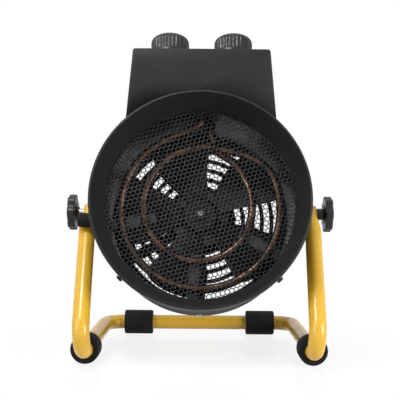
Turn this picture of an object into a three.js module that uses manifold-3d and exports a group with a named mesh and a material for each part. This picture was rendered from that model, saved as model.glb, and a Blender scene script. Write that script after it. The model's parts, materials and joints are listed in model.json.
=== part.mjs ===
// Portable forced air heater: a tilting steel drum with a control box on top,
// carried between the flattened tops of a bent tube stand.
// Millimetres, +Z up, front towards -Y, origin on the floor under the middle of the stand.

import * as THREE from 'three';
import { mergeGeometries, mergeVertices } from 'three/addons/utils/BufferGeometryUtils.js';
import Module from 'manifold-3d';

const wasm = await Module();
wasm.setup();

// Fits shared by all pieces
const seatGap = 0.3; // between two pieces that touch
const boltClearance = 0.4; // radial, around a screw, bolt or shaft
const drumSides = 40; // facets round the drum and everything turned with it

// Stand: one bent tube, open at the front, with rubber feet
const tubeDiameter = 16;
const runLength = 200; // front bend to rear crossbar, centre to centre
const frontBendRadius = 18;
const rearBendRadius = 21;
const tubeSides = 12;
const rubberDiameter = 27.5;
const sleeveLength = 32.4;
const sleeveInset = 37; // middle of a rear sleeve in from the floor run
const footLength = 22;
const footSetback = 29.5; // front bend to the middle of a front foot
const tabInset = 4.6; // how far the floor runs lie inside the flattened leg tops
const tabThickness = 10;
const legClearance = 8; // drum to a leg top
const tabWidth = 18;
const squashLength = 16; // over which the round leg turns flat

// Pivot of the drum in the stand
const pivotHeight = 141.4;
const pivotSetback = 79.5; // behind the front bend
const restTilt = 12.5; // degrees, mouth up
const pivotDepth = 72.4; // behind the front plane of the ring
const pivotBoltDiameter = 8;
const bossDiameter = 26;
const washerDiameter = 17;
const washerThickness = 1.5;

// Bush on the front of the left leg
const legBushDiameter = 13.8;
const legBushLength = 14.5;
const legBushDrop = 20.1; // below the pivot, along the leg
const legBushFlat = 2; // depth of the flat that seats on the leg

// Clamp knobs at the pivot
const clampDiameter = 36;
const clampThickness = 9;
const clampLobes = 7;
const clampLobeDepth = 2.4;
const clampStubDiameter = 11.5;
const clampStubLength = 5.9;
const clampBoltReach = 3; // past the inside of the drum
const clampBoltGrip = 10.5; // into the knob

// Front ring
const ringStep = 4.6; // from the drum out to the ring
const ringWall = 1.2;
const ringSkirtDepth = 19.5;
const ringRollRadius = 2.3;
const coneDepth = 28.2;
const coneWidth = 11.9; // from the outside of the ring in to the guard
const coneFlange = 3.3;
const ringScrewDepth = 16;

// Guard
const guardThickness = 1;
const guardRim = 2.4;
const guardPitch = 18; // across the flats of one cell, with its web
const guardWeb = 1.6;
const guardTurn = -15.6; // degrees, as the net was cut
const clampRingThickness = 1.2;

// Drum and its heat shield
const drumRadius = 98.6;
const drumWall = 1;
const drumFront = 15.5;
const shieldWall = 0.8;
const shieldAir = 7.2; // between the casing's outside and the shield
const grilleDepth = 110; // front face of the rear grille
const grilleWall = 1.2;
const grilleFlange = 7;
const drumLip = 8; // drum past the front face of the grille
const slotRings = 5;
const firstSlotRadius = 40;
const slotPitch = 10;
const slotWidth = 5.7;
const spokeCount = 6;
const spokeWidth = 11.5;
const domeRadius = 34;
const domeDepth = 13;
const domeDraft = 2.5;

// Heating element, a bent sheathed tube
const elementDiameter = 8;
const elementAir = 12.1; // from the outer turn's middle in from the shield
const elementStep = 15; // from turn to turn
const elementTighten = 13; // by which the inner turn draws in, most of it early on
const elementReturnAir = 14; // from the return's middle back to the fan
const elementTurnGap = 12; // from the turns back to the return
const elementLeadReach = 7.4; // past the outside of the drum
const elementLeadSpacing = 10;
const elementSides = 6;
const elementStepsPerTurn = 24;
const elementBracketWidth = 10;
const elementBracketWall = 1.2;
const elementBracketFoot = 12;
const elementBracketReach = 2; // past the inner turn
const elementBracketAir = 0.8; // between its foot and the shield
const mountPlateMargin = 13; // past the element's two ends, each way
const mountPlateThickness = 1.5;
const terminalDiameter = 3.2;
const terminalLength = 12;

// Fan and motor, along the drum's axis
const shaftDiameter = 5;
const fanTipGap = 6.6; // fan to the heat shield
const fanSetback = 30; // fan's front to the grille
const fanHubRadius = 18.3;
const fanHubLength = 11;
const fanBlades = 5;
const fanBladeAngle = 50; // degrees, seen from the front
const fanBladePitch = 20; // degrees
const fanBladeWall = 1.2;
const motorRadius = 29;
const motorSetback = 9; // stack's front to the grille
const motorStackLength = 14;
const motorAirGap = 0.6;
const rotorRadius = 12.7;
const windingInnerRadius = 15;
const windingOuterRadius = 25;
const windingLength = 4.3;
const windingBarWidth = 5;
const bearingRadius = 6.5;
const motorSides = 24;
const bracketWall = 1.5;
const motorScrewRadius = 20; // of the circle that the two screws lie on
const leadDiameter = 4;
const leadX = 5;
const leadSetback = 6; // lead's middle to the grille
const leadClearance = 1.5;
const leadRise = 22; // past the motor, where the lead turns straight

// Control box on top of the drum
const boxHeight = 53.8; // above the drum
const boxTopWidth = 133.7;
const boxFlare = 0.075; // outward for each millimetre down, each side
const boxWall = 1.2;
const boxCornerRadius = 3;
const boxFlange = 9;
const controlInset = 35.25; // side of the box's top to a control shaft
const controlSetback = 25; // front of the box to the control shafts
const controlShaftDiameter = 6;
const bushingDiameter = 9.4;
const controlNutWidth = 14;
const controlNutThickness = 3;
const switchSize = 28;
const switchHeight = 24;
const thermostatDiameter = 32;
const thermostatHeight = 19;
const glandInset = 22.85; // side of the box's top to the gland
const glandDrop = 30.4; // top of the box to the gland
const glandDiameter = 16;
const glandBore = 8;
const terminalBlockWidth = 22;
const terminalBlockLength = 48;
const terminalBlockHeight = 15.4;
const terminalBlockInset = 28.85; // side of the box's top to the block's middle
const terminalPitch = 12;
const terminalHoleRadius = 2.4;
const cutOutRadius = 8;
const cutOutHeight = 7.4;
const cutOutEar = 26;
const cutOutEarWidth = 12;
const cutOutEarThickness = 2.4;
const cutOutInset = 26.85; // side of the box's top to the cut-out's middle
const insideForward = 27.9; // back of the box to the middle of what is mounted inside

// Control knobs
const knobRadius = 19.4;
const knobTopRadius = 18.6;
const knobHeight = 20.3;
const knobGap = 0.8;
const knobWall = 2.2;
const knobRibs = 16;
const knobRibDepth = 0.7;

// Places that follow from the sizes above
const rad = THREE.MathUtils.degToRad;
const tubeRadius = tubeDiameter / 2;
const runHeight = rubberDiameter / 2;
const frontY = -(tubeRadius + runLength + rubberDiameter / 2) / 2 + tubeRadius;
const pivotY = frontY + pivotSetback;
const tabInner = drumRadius + legClearance;
const tabX = tabInner + tabThickness / 2;
const tabOuter = tabInner + tabThickness;
const runX = tabX - tabInset;
const sleeveX = runX - sleeveInset;
const washerOuter = tabInner - seatGap;
const bossOuter = washerOuter - washerThickness - seatGap;
const drumInnerRadius = drumRadius - drumWall;
const ringRadius = drumRadius + ringStep;
const coneInnerRadius = ringRadius - coneWidth;
const shieldOuterRadius = drumRadius - shieldAir;
const shieldInnerRadius = shieldOuterRadius - shieldWall;
const guardDepth = coneDepth + seatGap;
const clampRingDepth = guardDepth + guardThickness + seatGap;
const shieldFront = clampRingDepth + clampRingThickness + seatGap;
const shieldBack = grilleDepth - seatGap;
const drumBack = grilleDepth + drumLip;
const domeBack = grilleDepth + domeDepth;
const fanRadius = shieldInnerRadius - fanTipGap;
const fanDepth = grilleDepth - fanSetback;
const motorStackDepth = grilleDepth - motorSetback;
const leadDepth = grilleDepth - leadSetback;
const elementReturnDepth = fanDepth - elementReturnAir;
const elementDepth = elementReturnDepth - elementTurnGap;
const elementOuterRadius = shieldInnerRadius - elementAir;
const elementMiddleRadius = elementOuterRadius - elementStep;
const elementInnerRadius = elementMiddleRadius - elementTighten;
const elementLeadTop = drumRadius + elementLeadReach;
const boxTop = drumRadius + boxHeight;
const boxFront = ringSkirtDepth + seatGap;
const boxBack = grilleDepth - seatGap;
const coverFront = boxBack + seatGap;
const boxMiddle = boxBack - insideForward;
const controlX = boxTopWidth / 2 - controlInset;
const controlDepth = boxFront + controlSetback;
const glandX = boxTopWidth / 2 - glandInset;
const glandHeight = boxTop - glandDrop;
const knobBase = boxTop + knobGap;
const boltRadius = pivotBoltDiameter / 2;

const paint = (colour, roughness, metalness = 0) =>
  new THREE.MeshStandardMaterial({ color: colour, roughness, metalness });

const blackPaint = paint('#2b2c2f', 0.55);
const yellowPaint = paint('#f2b21d', 0.3);
const rubber = paint('#17181a', 0.85);
const blackPlastic = paint('#1c1d20', 0.5);
const steel = paint('#a9adb3', 0.35, 1);
const galvanised = paint('#83878a', 0.5, 1);
const sheath = paint('#6a5a4e', 0.45, 1);
const aluminium = paint('#9b9fa3', 0.45, 1);
const laminations = paint('#5c6064', 0.55, 1);
const copper = paint('#a5562c', 0.45, 1);
const ivoryPlastic = paint('#d8d2c0', 0.6);
const leadSleeve = paint('#8b2b22', 0.7);

// Solids

function closed(geometry) {
  const plain = new THREE.BufferGeometry();
  plain.setAttribute('position', geometry.getAttribute('position').clone());
  if (geometry.index) {
    plain.setIndex(geometry.index.clone());
  }
  const merged = mergeVertices(plain, 1e-4);
  const position = merged.getAttribute('position');
  const faces = [];
  let volume = 0;
  const [a, b, c] = [new THREE.Vector3(), new THREE.Vector3(), new THREE.Vector3()];
  for (let i = 0; i < merged.index.count; i += 3) {
    const corners = [0, 1, 2].map((k) => merged.index.getX(i + k));
    if (new Set(corners).size === 3) {
      a.fromBufferAttribute(position, corners[0]);
      b.fromBufferAttribute(position, corners[1]);
      c.fromBufferAttribute(position, corners[2]);
      volume += a.dot(b.cross(c));
      faces.push(corners);
    }
  }
  const order = volume < 0 ? [0, 2, 1] : [0, 1, 2];
  merged.setIndex(faces.flatMap((corners) => order.map((k) => corners[k])));
  return merged;
}

function toManifold(geometry) {
  const solid = closed(geometry);
  const mesh = new wasm.Mesh({
    numProp: 3,
    vertProperties: new Float32Array(solid.getAttribute('position').array),
    triVerts: new Uint32Array(solid.index.array),
  });
  return new wasm.Manifold(mesh);
}

function fromManifold(solid) {
  const mesh = solid.getMesh();
  const geometry = new THREE.BufferGeometry();
  geometry.setAttribute('position', new THREE.BufferAttribute(new Float32Array(mesh.vertProperties), 3));
  geometry.setIndex(new THREE.BufferAttribute(new Uint32Array(mesh.triVerts), 1));
  return geometry;
}

const cut = (body, ...tools) =>
  fromManifold(tools.reduce((solid, tool) => solid.subtract(toManifold(tool)), toManifold(body)));

const join = (body, ...others) =>
  fromManifold(others.reduce((solid, other) => solid.add(toManifold(other)), toManifold(body)));

const common = (body, tool) => fromManifold(toManifold(body).intersect(toManifold(tool)));

// Turned shapes: pairs of radius and height along Y
function turned(profile, sides = drumSides, halfStep = false) {
  const points = profile.map(([r, y]) => new THREE.Vector2(r, y));
  return new THREE.LatheGeometry(points, sides, halfStep ? Math.PI / sides : 0);
}

const disc = (radius, from, to, sides = drumSides) =>
  turned([[0, from], [radius, from], [radius, to], [0, to]], sides);

const band = (inner, outer, from, to, sides = drumSides) =>
  turned([[inner, from], [outer, from], [outer, to], [inner, to], [inner, from]], sides);

function rod(radius, from, to, axis, sides = 16) {
  const geometry = new THREE.CylinderGeometry(radius, radius, to - from, sides);
  geometry.translate(0, (from + to) / 2, 0);
  if (axis === 'x') {
    geometry.rotateZ(-Math.PI / 2);
  }
  if (axis === 'z') {
    geometry.rotateX(Math.PI / 2);
  }
  return geometry;
}

// A flat outline in X and Z, drawn out along Y from one depth to another
function plate(shape, from, to, curveSegments = 3) {
  const geometry = new THREE.ExtrudeGeometry(shape, { depth: to - from, bevelEnabled: false, curveSegments });
  geometry.rotateX(Math.PI / 2);
  geometry.translate(0, to, 0);
  return geometry;
}

function block(width, depth, height, x, y, z) {
  const geometry = new THREE.BoxGeometry(width, depth, height);
  geometry.translate(x, y, z + height / 2);
  return geometry;
}

function polygon(points) {
  const shape = new THREE.Shape();
  shape.setFromPoints(points.map(([x, y]) => new THREE.Vector2(x, y)));
  return shape;
}

function ringPoints(radius, count, turn = 0) {
  return Array.from({ length: count }, (_, i) => {
    const angle = turn + (i / count) * 2 * Math.PI;
    return [radius * Math.cos(angle), radius * Math.sin(angle)];
  });
}

const nutPoints = (acrossFlats, turn = 0) => ringPoints(acrossFlats / 2 / Math.cos(Math.PI / 6), 6, turn);

// A path known only at its stations, so that straight runs take a single step
class StationPath extends THREE.Curve {
  constructor(stations) {
    super();
    this.stations = stations;
  }

  station(u) {
    return this.stations[Math.round(u * (this.stations.length - 1))];
  }

  getPoint(t, target = new THREE.Vector3()) {
    return target.copy(this.station(t).point);
  }

  getPointAt(u, target) {
    return this.getPoint(u, target);
  }

  getTangentAt(u, target = new THREE.Vector3()) {
    return target.copy(this.station(u).tangent);
  }
}

// Corners: {at, radius}; a corner with no radius is only a station on the way
function bentPath(corners, arcSteps) {
  const stations = [];
  corners.forEach(({ at, radius = 0 }, i) => {
    const before = i > 0 ? at.clone().sub(corners[i - 1].at).normalize() : null;
    const after = i < corners.length - 1 ? corners[i + 1].at.clone().sub(at).normalize() : null;
    if (!radius || !before || !after) {
      const tangent = before && after ? before.clone().add(after).normalize() : (before || after).clone();
      stations.push({ point: at.clone(), tangent });
      return;
    }
    const turn = before.angleTo(after);
    const reach = radius * Math.tan(turn / 2);
    const start = at.clone().addScaledVector(before, -reach);
    const inward = after.clone().sub(before.clone().multiplyScalar(before.dot(after))).normalize();
    const centre = start.clone().addScaledVector(inward, radius);
    for (let k = 0; k <= arcSteps; k += 1) {
      const angle = (turn * k) / arcSteps;
      stations.push({
        point: centre.clone()
          .addScaledVector(inward, -radius * Math.cos(angle))
          .addScaledVector(before, radius * Math.sin(angle)),
        tangent: before.clone().multiplyScalar(Math.cos(angle)).addScaledVector(inward, Math.sin(angle)),
      });
    }
  });
  return new StationPath(stations);
}

function swept(path, steps, radius, sides) {
  const section = polygon(ringPoints(radius, sides));
  return new THREE.ExtrudeGeometry(section, { steps, extrudePath: path, bevelEnabled: false });
}

// Screw with a domed head: the head lies above Y = 0 and the shank below
function screw(headRadius, headHeight, shankRadius, shankLength) {
  return turned([
    [0, headHeight],
    [headRadius * 0.65, headHeight * 0.9],
    [headRadius, 0],
    [shankRadius, 0],
    [shankRadius, -shankLength],
    [0, -shankLength],
  ], 8);
}

// Groups and nodes

const heater = new THREE.Group();
const head = new THREE.Group();
head.position.set(0, pivotY, pivotHeight);
head.rotation.x = -rad(restTilt);
heater.add(head);

// Inside this group Y is the depth behind the front plane of the ring
const drumFrame = new THREE.Group();
drumFrame.position.y = -pivotDepth;
head.add(drumFrame);

function add(parent, name, geometry, material) {
  const mesh = new THREE.Mesh(closed(geometry), material);
  mesh.name = name;
  parent.add(mesh);
  return mesh;
}

function addAlong(parent, name, geometry, material, position, direction) {
  const mesh = add(parent, name, geometry, material);
  mesh.position.copy(position);
  mesh.quaternion.setFromUnitVectors(new THREE.Vector3(0, 1, 0), direction);
  return mesh;
}

// Stand

function legDirection() {
  const foot = new THREE.Vector3(0, frontCornerY(), runHeight);
  return new THREE.Vector3(0, pivotY, pivotHeight).sub(foot).normalize();
}

// The bend's foremost point lies on frontY, so its corner lies a little ahead of that
function frontCornerY() {
  let cornerY = frontY;
  for (let i = 0; i < 20; i += 1) {
    const lean = Math.atan2(pivotHeight - runHeight, pivotY - cornerY);
    const turn = Math.PI - lean;
    cornerY = frontY + frontBendRadius - frontBendRadius * Math.tan(turn / 2);
  }
  return cornerY;
}

function standTube() {
  const up = legDirection();
  const tip = tabWidth / 2;
  const squashStart = -tip - squashLength;
  const squash = [0, 0.4, 0.75, 1].map((part) => squashStart + squashLength * part);
  const squashStations = [...squash, 0, tip * 0.6, tip * 0.88, tip * 0.97];
  const side = (sign) => {
    const pivot = new THREE.Vector3(sign * tabX, pivotY, pivotHeight);
    const top = squashStations.map((s) => ({ at: pivot.clone().addScaledVector(up, s) }));
    return [
      ...top.reverse(),
      { at: new THREE.Vector3(sign * runX, frontCornerY(), runHeight), radius: frontBendRadius },
      { at: new THREE.Vector3(sign * runX, frontY + runLength, runHeight), radius: rearBendRadius },
    ];
  };
  const path = bentPath([...side(-1), ...side(1).reverse()], 6);
  const tube = swept(path, path.stations.length - 1, tubeRadius, tubeSides);
  const position = tube.getAttribute('position');
  const across = new THREE.Vector3(0, -up.z, up.y);
  const point = new THREE.Vector3();
  for (let i = 0; i < position.count; i += 1) {
    point.fromBufferAttribute(position, i);
    const sign = Math.sign(point.x);
    const offset = point.clone().sub(new THREE.Vector3(sign * tabX, pivotY, pivotHeight));
    const along = offset.dot(up);
    const intoSquash = THREE.MathUtils.clamp((-tip - along) / squashLength, 0, 1);
    const flatness = 1 - Math.sin((Math.PI / 2) * intoSquash);
    const onLeg = Math.abs(offset.dot(across)) < tubeDiameter;
    if (flatness > 0 && onLeg && along < tip) {
      const half = along > 0 ? Math.sqrt(tip * tip - along * along) : tip;
      const wide = THREE.MathUtils.lerp(1, half / tubeRadius, flatness);
      const thin = THREE.MathUtils.lerp(1, tabThickness / tubeDiameter, flatness) * (half / tip) ** 0.5;
      point.copy(new THREE.Vector3(sign * tabX + offset.x * thin, pivotY, pivotHeight))
        .addScaledVector(up, along)
        .addScaledVector(across, offset.dot(across) * wide);
      position.setXYZ(i, point.x, point.y, point.z);
    }
  }
  const hole = rod(boltRadius + boltClearance, -tabX - tubeDiameter, tabX + tubeDiameter, 'x');
  hole.translate(0, pivotY, pivotHeight);
  return cut(tube, hole);
}

function rubberRing(length) {
  const sides = 18;
  const outer = rubberDiameter / 2 / Math.cos(Math.PI / sides);
  const inner = (tubeRadius + seatGap) / Math.cos(Math.PI / sides);
  const half = length / 2;
  const edge = 1.5;
  return turned([
    [inner, -half],
    [outer - edge, -half],
    [outer, edge - half],
    [outer, half - edge],
    [outer - edge, half],
    [inner, half],
    [inner, -half],
  ], sides, true);
}

// A round bush that lies across the left leg, flat where it seats
function legBush() {
  const up = legDirection();
  const across = new THREE.Vector3(0, -up.z, up.y);
  const radius = legBushDiameter / 2;
  const seat = tabWidth / 2 + seatGap;
  const bush = rod(radius, -legBushLength / 2, legBushLength / 2, 'x', 24);
  const flat = block(legBushLength * 2, radius * 2, radius * 4, 0, -2 * radius + legBushFlat, -radius * 2);
  const shaped = cut(bush, flat);
  shaped.rotateX(Math.atan2(across.z, across.y));
  const at = new THREE.Vector3(-tabX, pivotY, pivotHeight)
    .addScaledVector(up, -legBushDrop)
    .addScaledVector(across, seat + radius - legBushFlat);
  shaped.translate(at.x, at.y, at.z);
  return shaped;
}

function addStand() {
  add(heater, 'stand_tube', standTube(), yellowPaint);
  add(heater, 'leg_bush_left', legBush(), rubber);
  for (const [name, sign] of [['left', -1], ['right', 1]]) {
    const foot = add(heater, `front_foot_${name}`, rubberRing(footLength), rubber);
    foot.position.set(sign * runX, frontY + footSetback, runHeight);
    const sleeve = add(heater, `rear_sleeve_${name}`, rubberRing(sleeveLength), rubber);
    sleeve.rotation.z = Math.PI / 2;
    sleeve.position.set(sign * sleeveX, frontY + runLength, runHeight);
  }
}

// Front ring, guard and the ring that clamps it

function ringScrewPlaces() {
  return [45, 135, 225, 315].map((angle) => {
    const direction = new THREE.Vector3(Math.sin(rad(angle)), 0, Math.cos(rad(angle)));
    return { angle, direction };
  });
}

function frontRing() {
  const crest = ringRadius - ringRollRadius;
  const inside = ringRadius - ringWall;
  const roll = [0, 45, 90].map((angle) => [
    crest + ringRollRadius * Math.cos(rad(angle)),
    ringRollRadius - ringRollRadius * Math.sin(rad(angle)),
  ]);
  const slope = (crest - coneInnerRadius) / coneDepth;
  const coneBack = (depth) => crest - slope * depth + ringWall * Math.hypot(1, slope);
  const flangeFront = coneDepth - ringWall;
  const ring = turned([
    [ringRadius, ringSkirtDepth],
    ...roll,
    [coneInnerRadius, coneDepth],
    [coneInnerRadius + coneFlange, coneDepth],
    [coneInnerRadius + coneFlange, flangeFront],
    [coneBack(flangeFront), flangeFront],
    [coneBack(ringRollRadius), ringRollRadius],
    [inside, ringRollRadius + ringWall],
    [inside, ringSkirtDepth],
    [ringRadius, ringSkirtDepth],
  ]);
  return cut(ring, ...ringScrewPlaces().map(({ angle }) => {
    const hole = rod(ringScrewShank + boltClearance, ringRadius - 5, ringRadius + 5, 'z', 10);
    hole.translate(0, ringScrewDepth, 0);
    hole.rotateY(rad(angle));
    return hole;
  }));
}

const ringScrewShank = 1.75;
const ringScrewHead = 3.45;
const ringScrewHeadHeight = 2.4;

function guardNet() {
  const outer = coneInnerRadius + coneFlange - 0.2;
  const inner = outer - guardRim;
  const cells = [];
  const reach = Math.ceil((2 * inner) / guardPitch);
  const hole = (guardPitch - guardWeb) / 2 / Math.cos(Math.PI / 6);
  for (let row = -reach; row <= reach; row += 1) {
    for (let column = -reach; column <= reach; column += 1) {
      const x = guardPitch * (column + row / 2);
      const z = guardPitch * row * Math.sin(Math.PI / 3);
      if (Math.hypot(x, z) < inner + guardPitch * 0.2) {
        const corners = ringPoints(hole, 6, Math.PI / 6).map(([dx, dz]) => [x + dx, z + dz]);
        cells.push(plate(polygon(corners), guardDepth - 1, guardDepth + guardThickness + 1));
      }
    }
  }
  const net = mergeGeometries(cells);
  net.rotateY(rad(guardTurn));
  const mask = disc(inner, guardDepth - 2, guardDepth + guardThickness + 2);
  return cut(disc(outer, guardDepth, guardDepth + guardThickness), common(net, mask));
}

function addFront() {
  add(drumFrame, 'front_ring', frontRing(), blackPaint);
  add(drumFrame, 'guard_net', guardNet(), steel);
  const clampInner = coneInnerRadius + seatGap;
  const clampOuter = drumInnerRadius - seatGap;
  const clampRing = band(clampInner, clampOuter, clampRingDepth, clampRingDepth + clampRingThickness);
  add(drumFrame, 'guard_clamp_ring', clampRing, galvanised);
  ringScrewPlaces().forEach(({ direction }, i) => {
    const shank = ringRadius + seatGap - drumRadius + drumWall / 2;
    const geometry = screw(ringScrewHead, ringScrewHeadHeight, ringScrewShank, shank);
    const at = direction.clone().multiplyScalar(ringRadius + seatGap).setY(ringScrewDepth);
    addAlong(drumFrame, `ring_screw_${i + 1}`, geometry, steel, at, direction);
  });
}

// Drum, heat shield and rear grille

const grilleScrewShank = 1.75;
const grilleScrewAngles = [60, 180, 300]; // from the top, clear of the control box
const grilleScrewDepth = grilleDepth + grilleFlange / 2;

function radialHoles(radius, depth, angles, from, to) {
  return angles.map((angle) => {
    const hole = rod(radius, from, to, 'z', 10);
    hole.translate(0, depth, 0);
    hole.rotateY(rad(angle));
    return hole;
  });
}

function elementHoles(radius, from, to) {
  return [[0, elementDepth], [elementLeadSpacing, elementReturnDepth]].map(([x, depth]) => {
    const hole = rod(radius, from, to, 'z', 12);
    hole.translate(x, depth, 0);
    return hole;
  });
}

function drumCasing() {
  const padRadius = 3;
  const padTop = (ringRadius - ringWall) * Math.cos(Math.PI / drumSides) - seatGap;
  const casing = band(drumInnerRadius, drumRadius, drumFront, drumBack);
  const pads = ringScrewPlaces().map(({ angle }) => {
    const pad = rod(padRadius, drumRadius - 0.3, padTop, 'z', 12);
    pad.translate(0, ringScrewDepth, 0);
    pad.rotateY(rad(angle));
    return pad;
  });
  const near = drumInnerRadius - 6;
  const far = drumRadius + 6;
  const leadHole = rod(leadDiameter / 2 + leadClearance, near, far, 'z', 12);
  leadHole.translate(leadX, leadDepth, 0);
  const pivotHole = rod(boltRadius + boltClearance, -far, far, 'x');
  pivotHole.translate(0, pivotDepth, 0);
  return cut(
    join(casing, ...pads),
    ...radialHoles(ringScrewShank + boltClearance, ringScrewDepth, [45, 135, 225, 315], near, far),
    ...radialHoles(grilleScrewShank + boltClearance, grilleScrewDepth, grilleScrewAngles, near, far),
    ...elementHoles(elementDiameter / 2 + 2, near, far),
    leadHole,
    pivotHole,
  );
}

function heatShield() {
  const shield = band(shieldInnerRadius, shieldOuterRadius, shieldFront, shieldBack);
  const notchWidth = leadDiameter + 6;
  const notchDepth = 2 * (shieldBack - leadDepth + leadDiameter / 2 + 2);
  const notch = block(notchWidth, notchDepth, 12, leadX, shieldBack, shieldInnerRadius - 6);
  const holes = elementHoles(elementDiameter / 2 + 2, shieldInnerRadius - 8, shieldOuterRadius + 4);
  return cut(shield, notch, ...holes);
}

function slotShape(radius, from, to) {
  const inner = radius - slotWidth / 2;
  const outer = radius + slotWidth / 2;
  const steps = 3;
  const edge = (r, start, end) => Array.from({ length: steps + 1 }, (_, i) => {
    const angle = start + ((end - start) * i) / steps;
    return [r * Math.cos(angle), r * Math.sin(angle)];
  });
  const trim = (r) => Math.asin(spokeWidth / 2 / r);
  return polygon([
    ...edge(outer, from + trim(outer), to - trim(outer)),
    ...edge(inner, to - trim(inner), from + trim(inner)),
  ]);
}

function rearGrille() {
  const outer = drumInnerRadius - seatGap;
  const back = grilleDepth + grilleWall;
  const cup = turned([
    [0, domeBack],
    [domeRadius - domeDraft, domeBack],
    [domeRadius, grilleDepth],
    [outer, grilleDepth],
    [outer, grilleDepth + grilleFlange],
    [outer - grilleWall, grilleDepth + grilleFlange],
    [outer - grilleWall, back],
    [domeRadius + grilleWall, back],
    [domeRadius + grilleWall - domeDraft, domeBack + grilleWall],
    [0, domeBack + grilleWall],
  ]);
  const slots = [];
  for (let k = 0; k < spokeCount; k += 1) {
    const spoke = Math.PI / 2 + (k / spokeCount) * 2 * Math.PI;
    for (let ring = 0; ring < slotRings; ring += 1) {
      const shape = slotShape(firstSlotRadius + ring * slotPitch, spoke, spoke + (2 * Math.PI) / spokeCount);
      slots.push(plate(shape, grilleDepth - 1, back + 1));
    }
  }
  const motorHoles = motorScrewPlaces().map((x) => {
    const hole = rod(motorScrewShank + boltClearance, domeBack - 3, domeBack + 5, 'y', 10);
    hole.translate(x, 0, 0);
    return hole;
  });
  const screwHoles = radialHoles(grilleScrewShank + boltClearance, grilleScrewDepth, grilleScrewAngles,
    outer - 5, outer + 5);
  return cut(cup, mergeGeometries(slots), ...screwHoles, ...motorHoles);
}

function pivotBoss() {
  const inner = drumRadius - bossDiameter / 4;
  const boss = rod(bossDiameter / 2, inner, bossOuter, 'x', 24);
  boss.translate(0, pivotDepth, 0);
  const bore = rod(boltRadius + boltClearance, inner - 2, bossOuter + 5, 'x');
  bore.translate(0, pivotDepth, 0);
  return cut(boss, disc(drumRadius + seatGap, pivotDepth - bossDiameter, pivotDepth + bossDiameter), bore);
}

function frictionWasher() {
  const washer = rod(washerDiameter / 2, washerOuter - washerThickness, washerOuter, 'x', 24);
  const bore = rod(boltRadius + boltClearance, washerOuter - 5, washerOuter + 5, 'x');
  const ring = cut(washer, bore);
  ring.translate(0, pivotDepth, 0);
  return ring;
}

function addDrum() {
  add(drumFrame, 'drum_casing', drumCasing(), blackPaint);
  add(drumFrame, 'heat_shield', heatShield(), galvanised);
  add(drumFrame, 'rear_grille', rearGrille(), blackPaint);
  grilleScrewAngles.forEach((angle, i) => {
    const direction = new THREE.Vector3(Math.sin(rad(angle)), 0, Math.cos(rad(angle)));
    const at = direction.clone().multiplyScalar(drumRadius + seatGap).setY(grilleScrewDepth);
    const geometry = screw(3.4, 1.9, grilleScrewShank, 5);
    addAlong(drumFrame, `grille_screw_${i + 1}`, geometry, steel, at, direction);
  });
  for (const [name, turn] of [['right', 0], ['left', Math.PI]]) {
    const flip = (geometry) => geometry.translate(0, -pivotDepth, 0).rotateZ(turn).translate(0, pivotDepth, 0);
    add(drumFrame, `pivot_boss_${name}`, flip(pivotBoss()), galvanised);
    add(drumFrame, `friction_washer_${name}`, flip(frictionWasher()), blackPlastic);
  }
}

// Heating element: down from the box, once round outside, once round inside, and back up behind

function elementPath() {
  const places = [];
  const polar = (angle, radius, depth) => new THREE.Vector3(
    -radius * Math.sin(rad(angle)), depth, radius * Math.cos(rad(angle)));
  places.push(new THREE.Vector3(0, elementDepth, elementLeadTop));
  places.push(new THREE.Vector3(0, elementDepth, elementLeadTop - 10));
  places.push(new THREE.Vector3(-0.6, elementDepth, elementOuterRadius + 9));
  places.push(polar(8.5, elementOuterRadius + 2.6, elementDepth));
  for (let angle = 25; angle <= 300; angle += 25) {
    places.push(polar(angle, elementOuterRadius, elementDepth));
  }
  const inward = elementOuterRadius - elementMiddleRadius;
  places.push(polar(320, elementOuterRadius - inward * 0.5, elementDepth));
  places.push(polar(340, elementMiddleRadius + 1, elementDepth));
  const tighten = elementMiddleRadius - elementInnerRadius;
  for (let angle = 360; angle <= 620; angle += 26) {
    const left = (620 - angle) / 260;
    places.push(polar(angle, elementInnerRadius + tighten * left * left, elementDepth));
  }
  const half = (elementDepth + elementReturnDepth) / 2;
  places.push(polar(642, elementInnerRadius + 1, half - 2));
  places.push(polar(664, elementInnerRadius + 4.5, elementReturnDepth - 0.5));
  places.push(polar(686, elementMiddleRadius - 3, elementReturnDepth));
  places.push(polar(704, elementMiddleRadius + 1, elementReturnDepth));
  places.push(new THREE.Vector3(elementLeadSpacing + 0.8, elementReturnDepth, elementOuterRadius + 1));
  places.push(new THREE.Vector3(elementLeadSpacing, elementReturnDepth, elementOuterRadius + 11));
  places.push(new THREE.Vector3(elementLeadSpacing, elementReturnDepth, elementLeadTop - 10));
  places.push(new THREE.Vector3(elementLeadSpacing, elementReturnDepth, elementLeadTop));
  return new THREE.CatmullRomCurve3(places, false, 'centripetal');
}

function elementBracket() {
  const front = elementDepth + elementDiameter / 2 + seatGap;
  const outer = shieldInnerRadius * Math.cos(Math.PI / drumSides) - elementBracketAir;
  const inner = elementInnerRadius - elementDiameter / 2 - elementBracketReach;
  const stripMiddle = front + elementBracketWall / 2;
  const strip = block(elementBracketWidth, elementBracketWall, outer - inner, 0, stripMiddle, inner);
  const footMiddle = front + elementBracketFoot / 2;
  const foot = block(elementBracketWidth, elementBracketFoot, elementBracketWall, 0, footMiddle,
    outer - elementBracketWall);
  return join(strip, foot);
}

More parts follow.
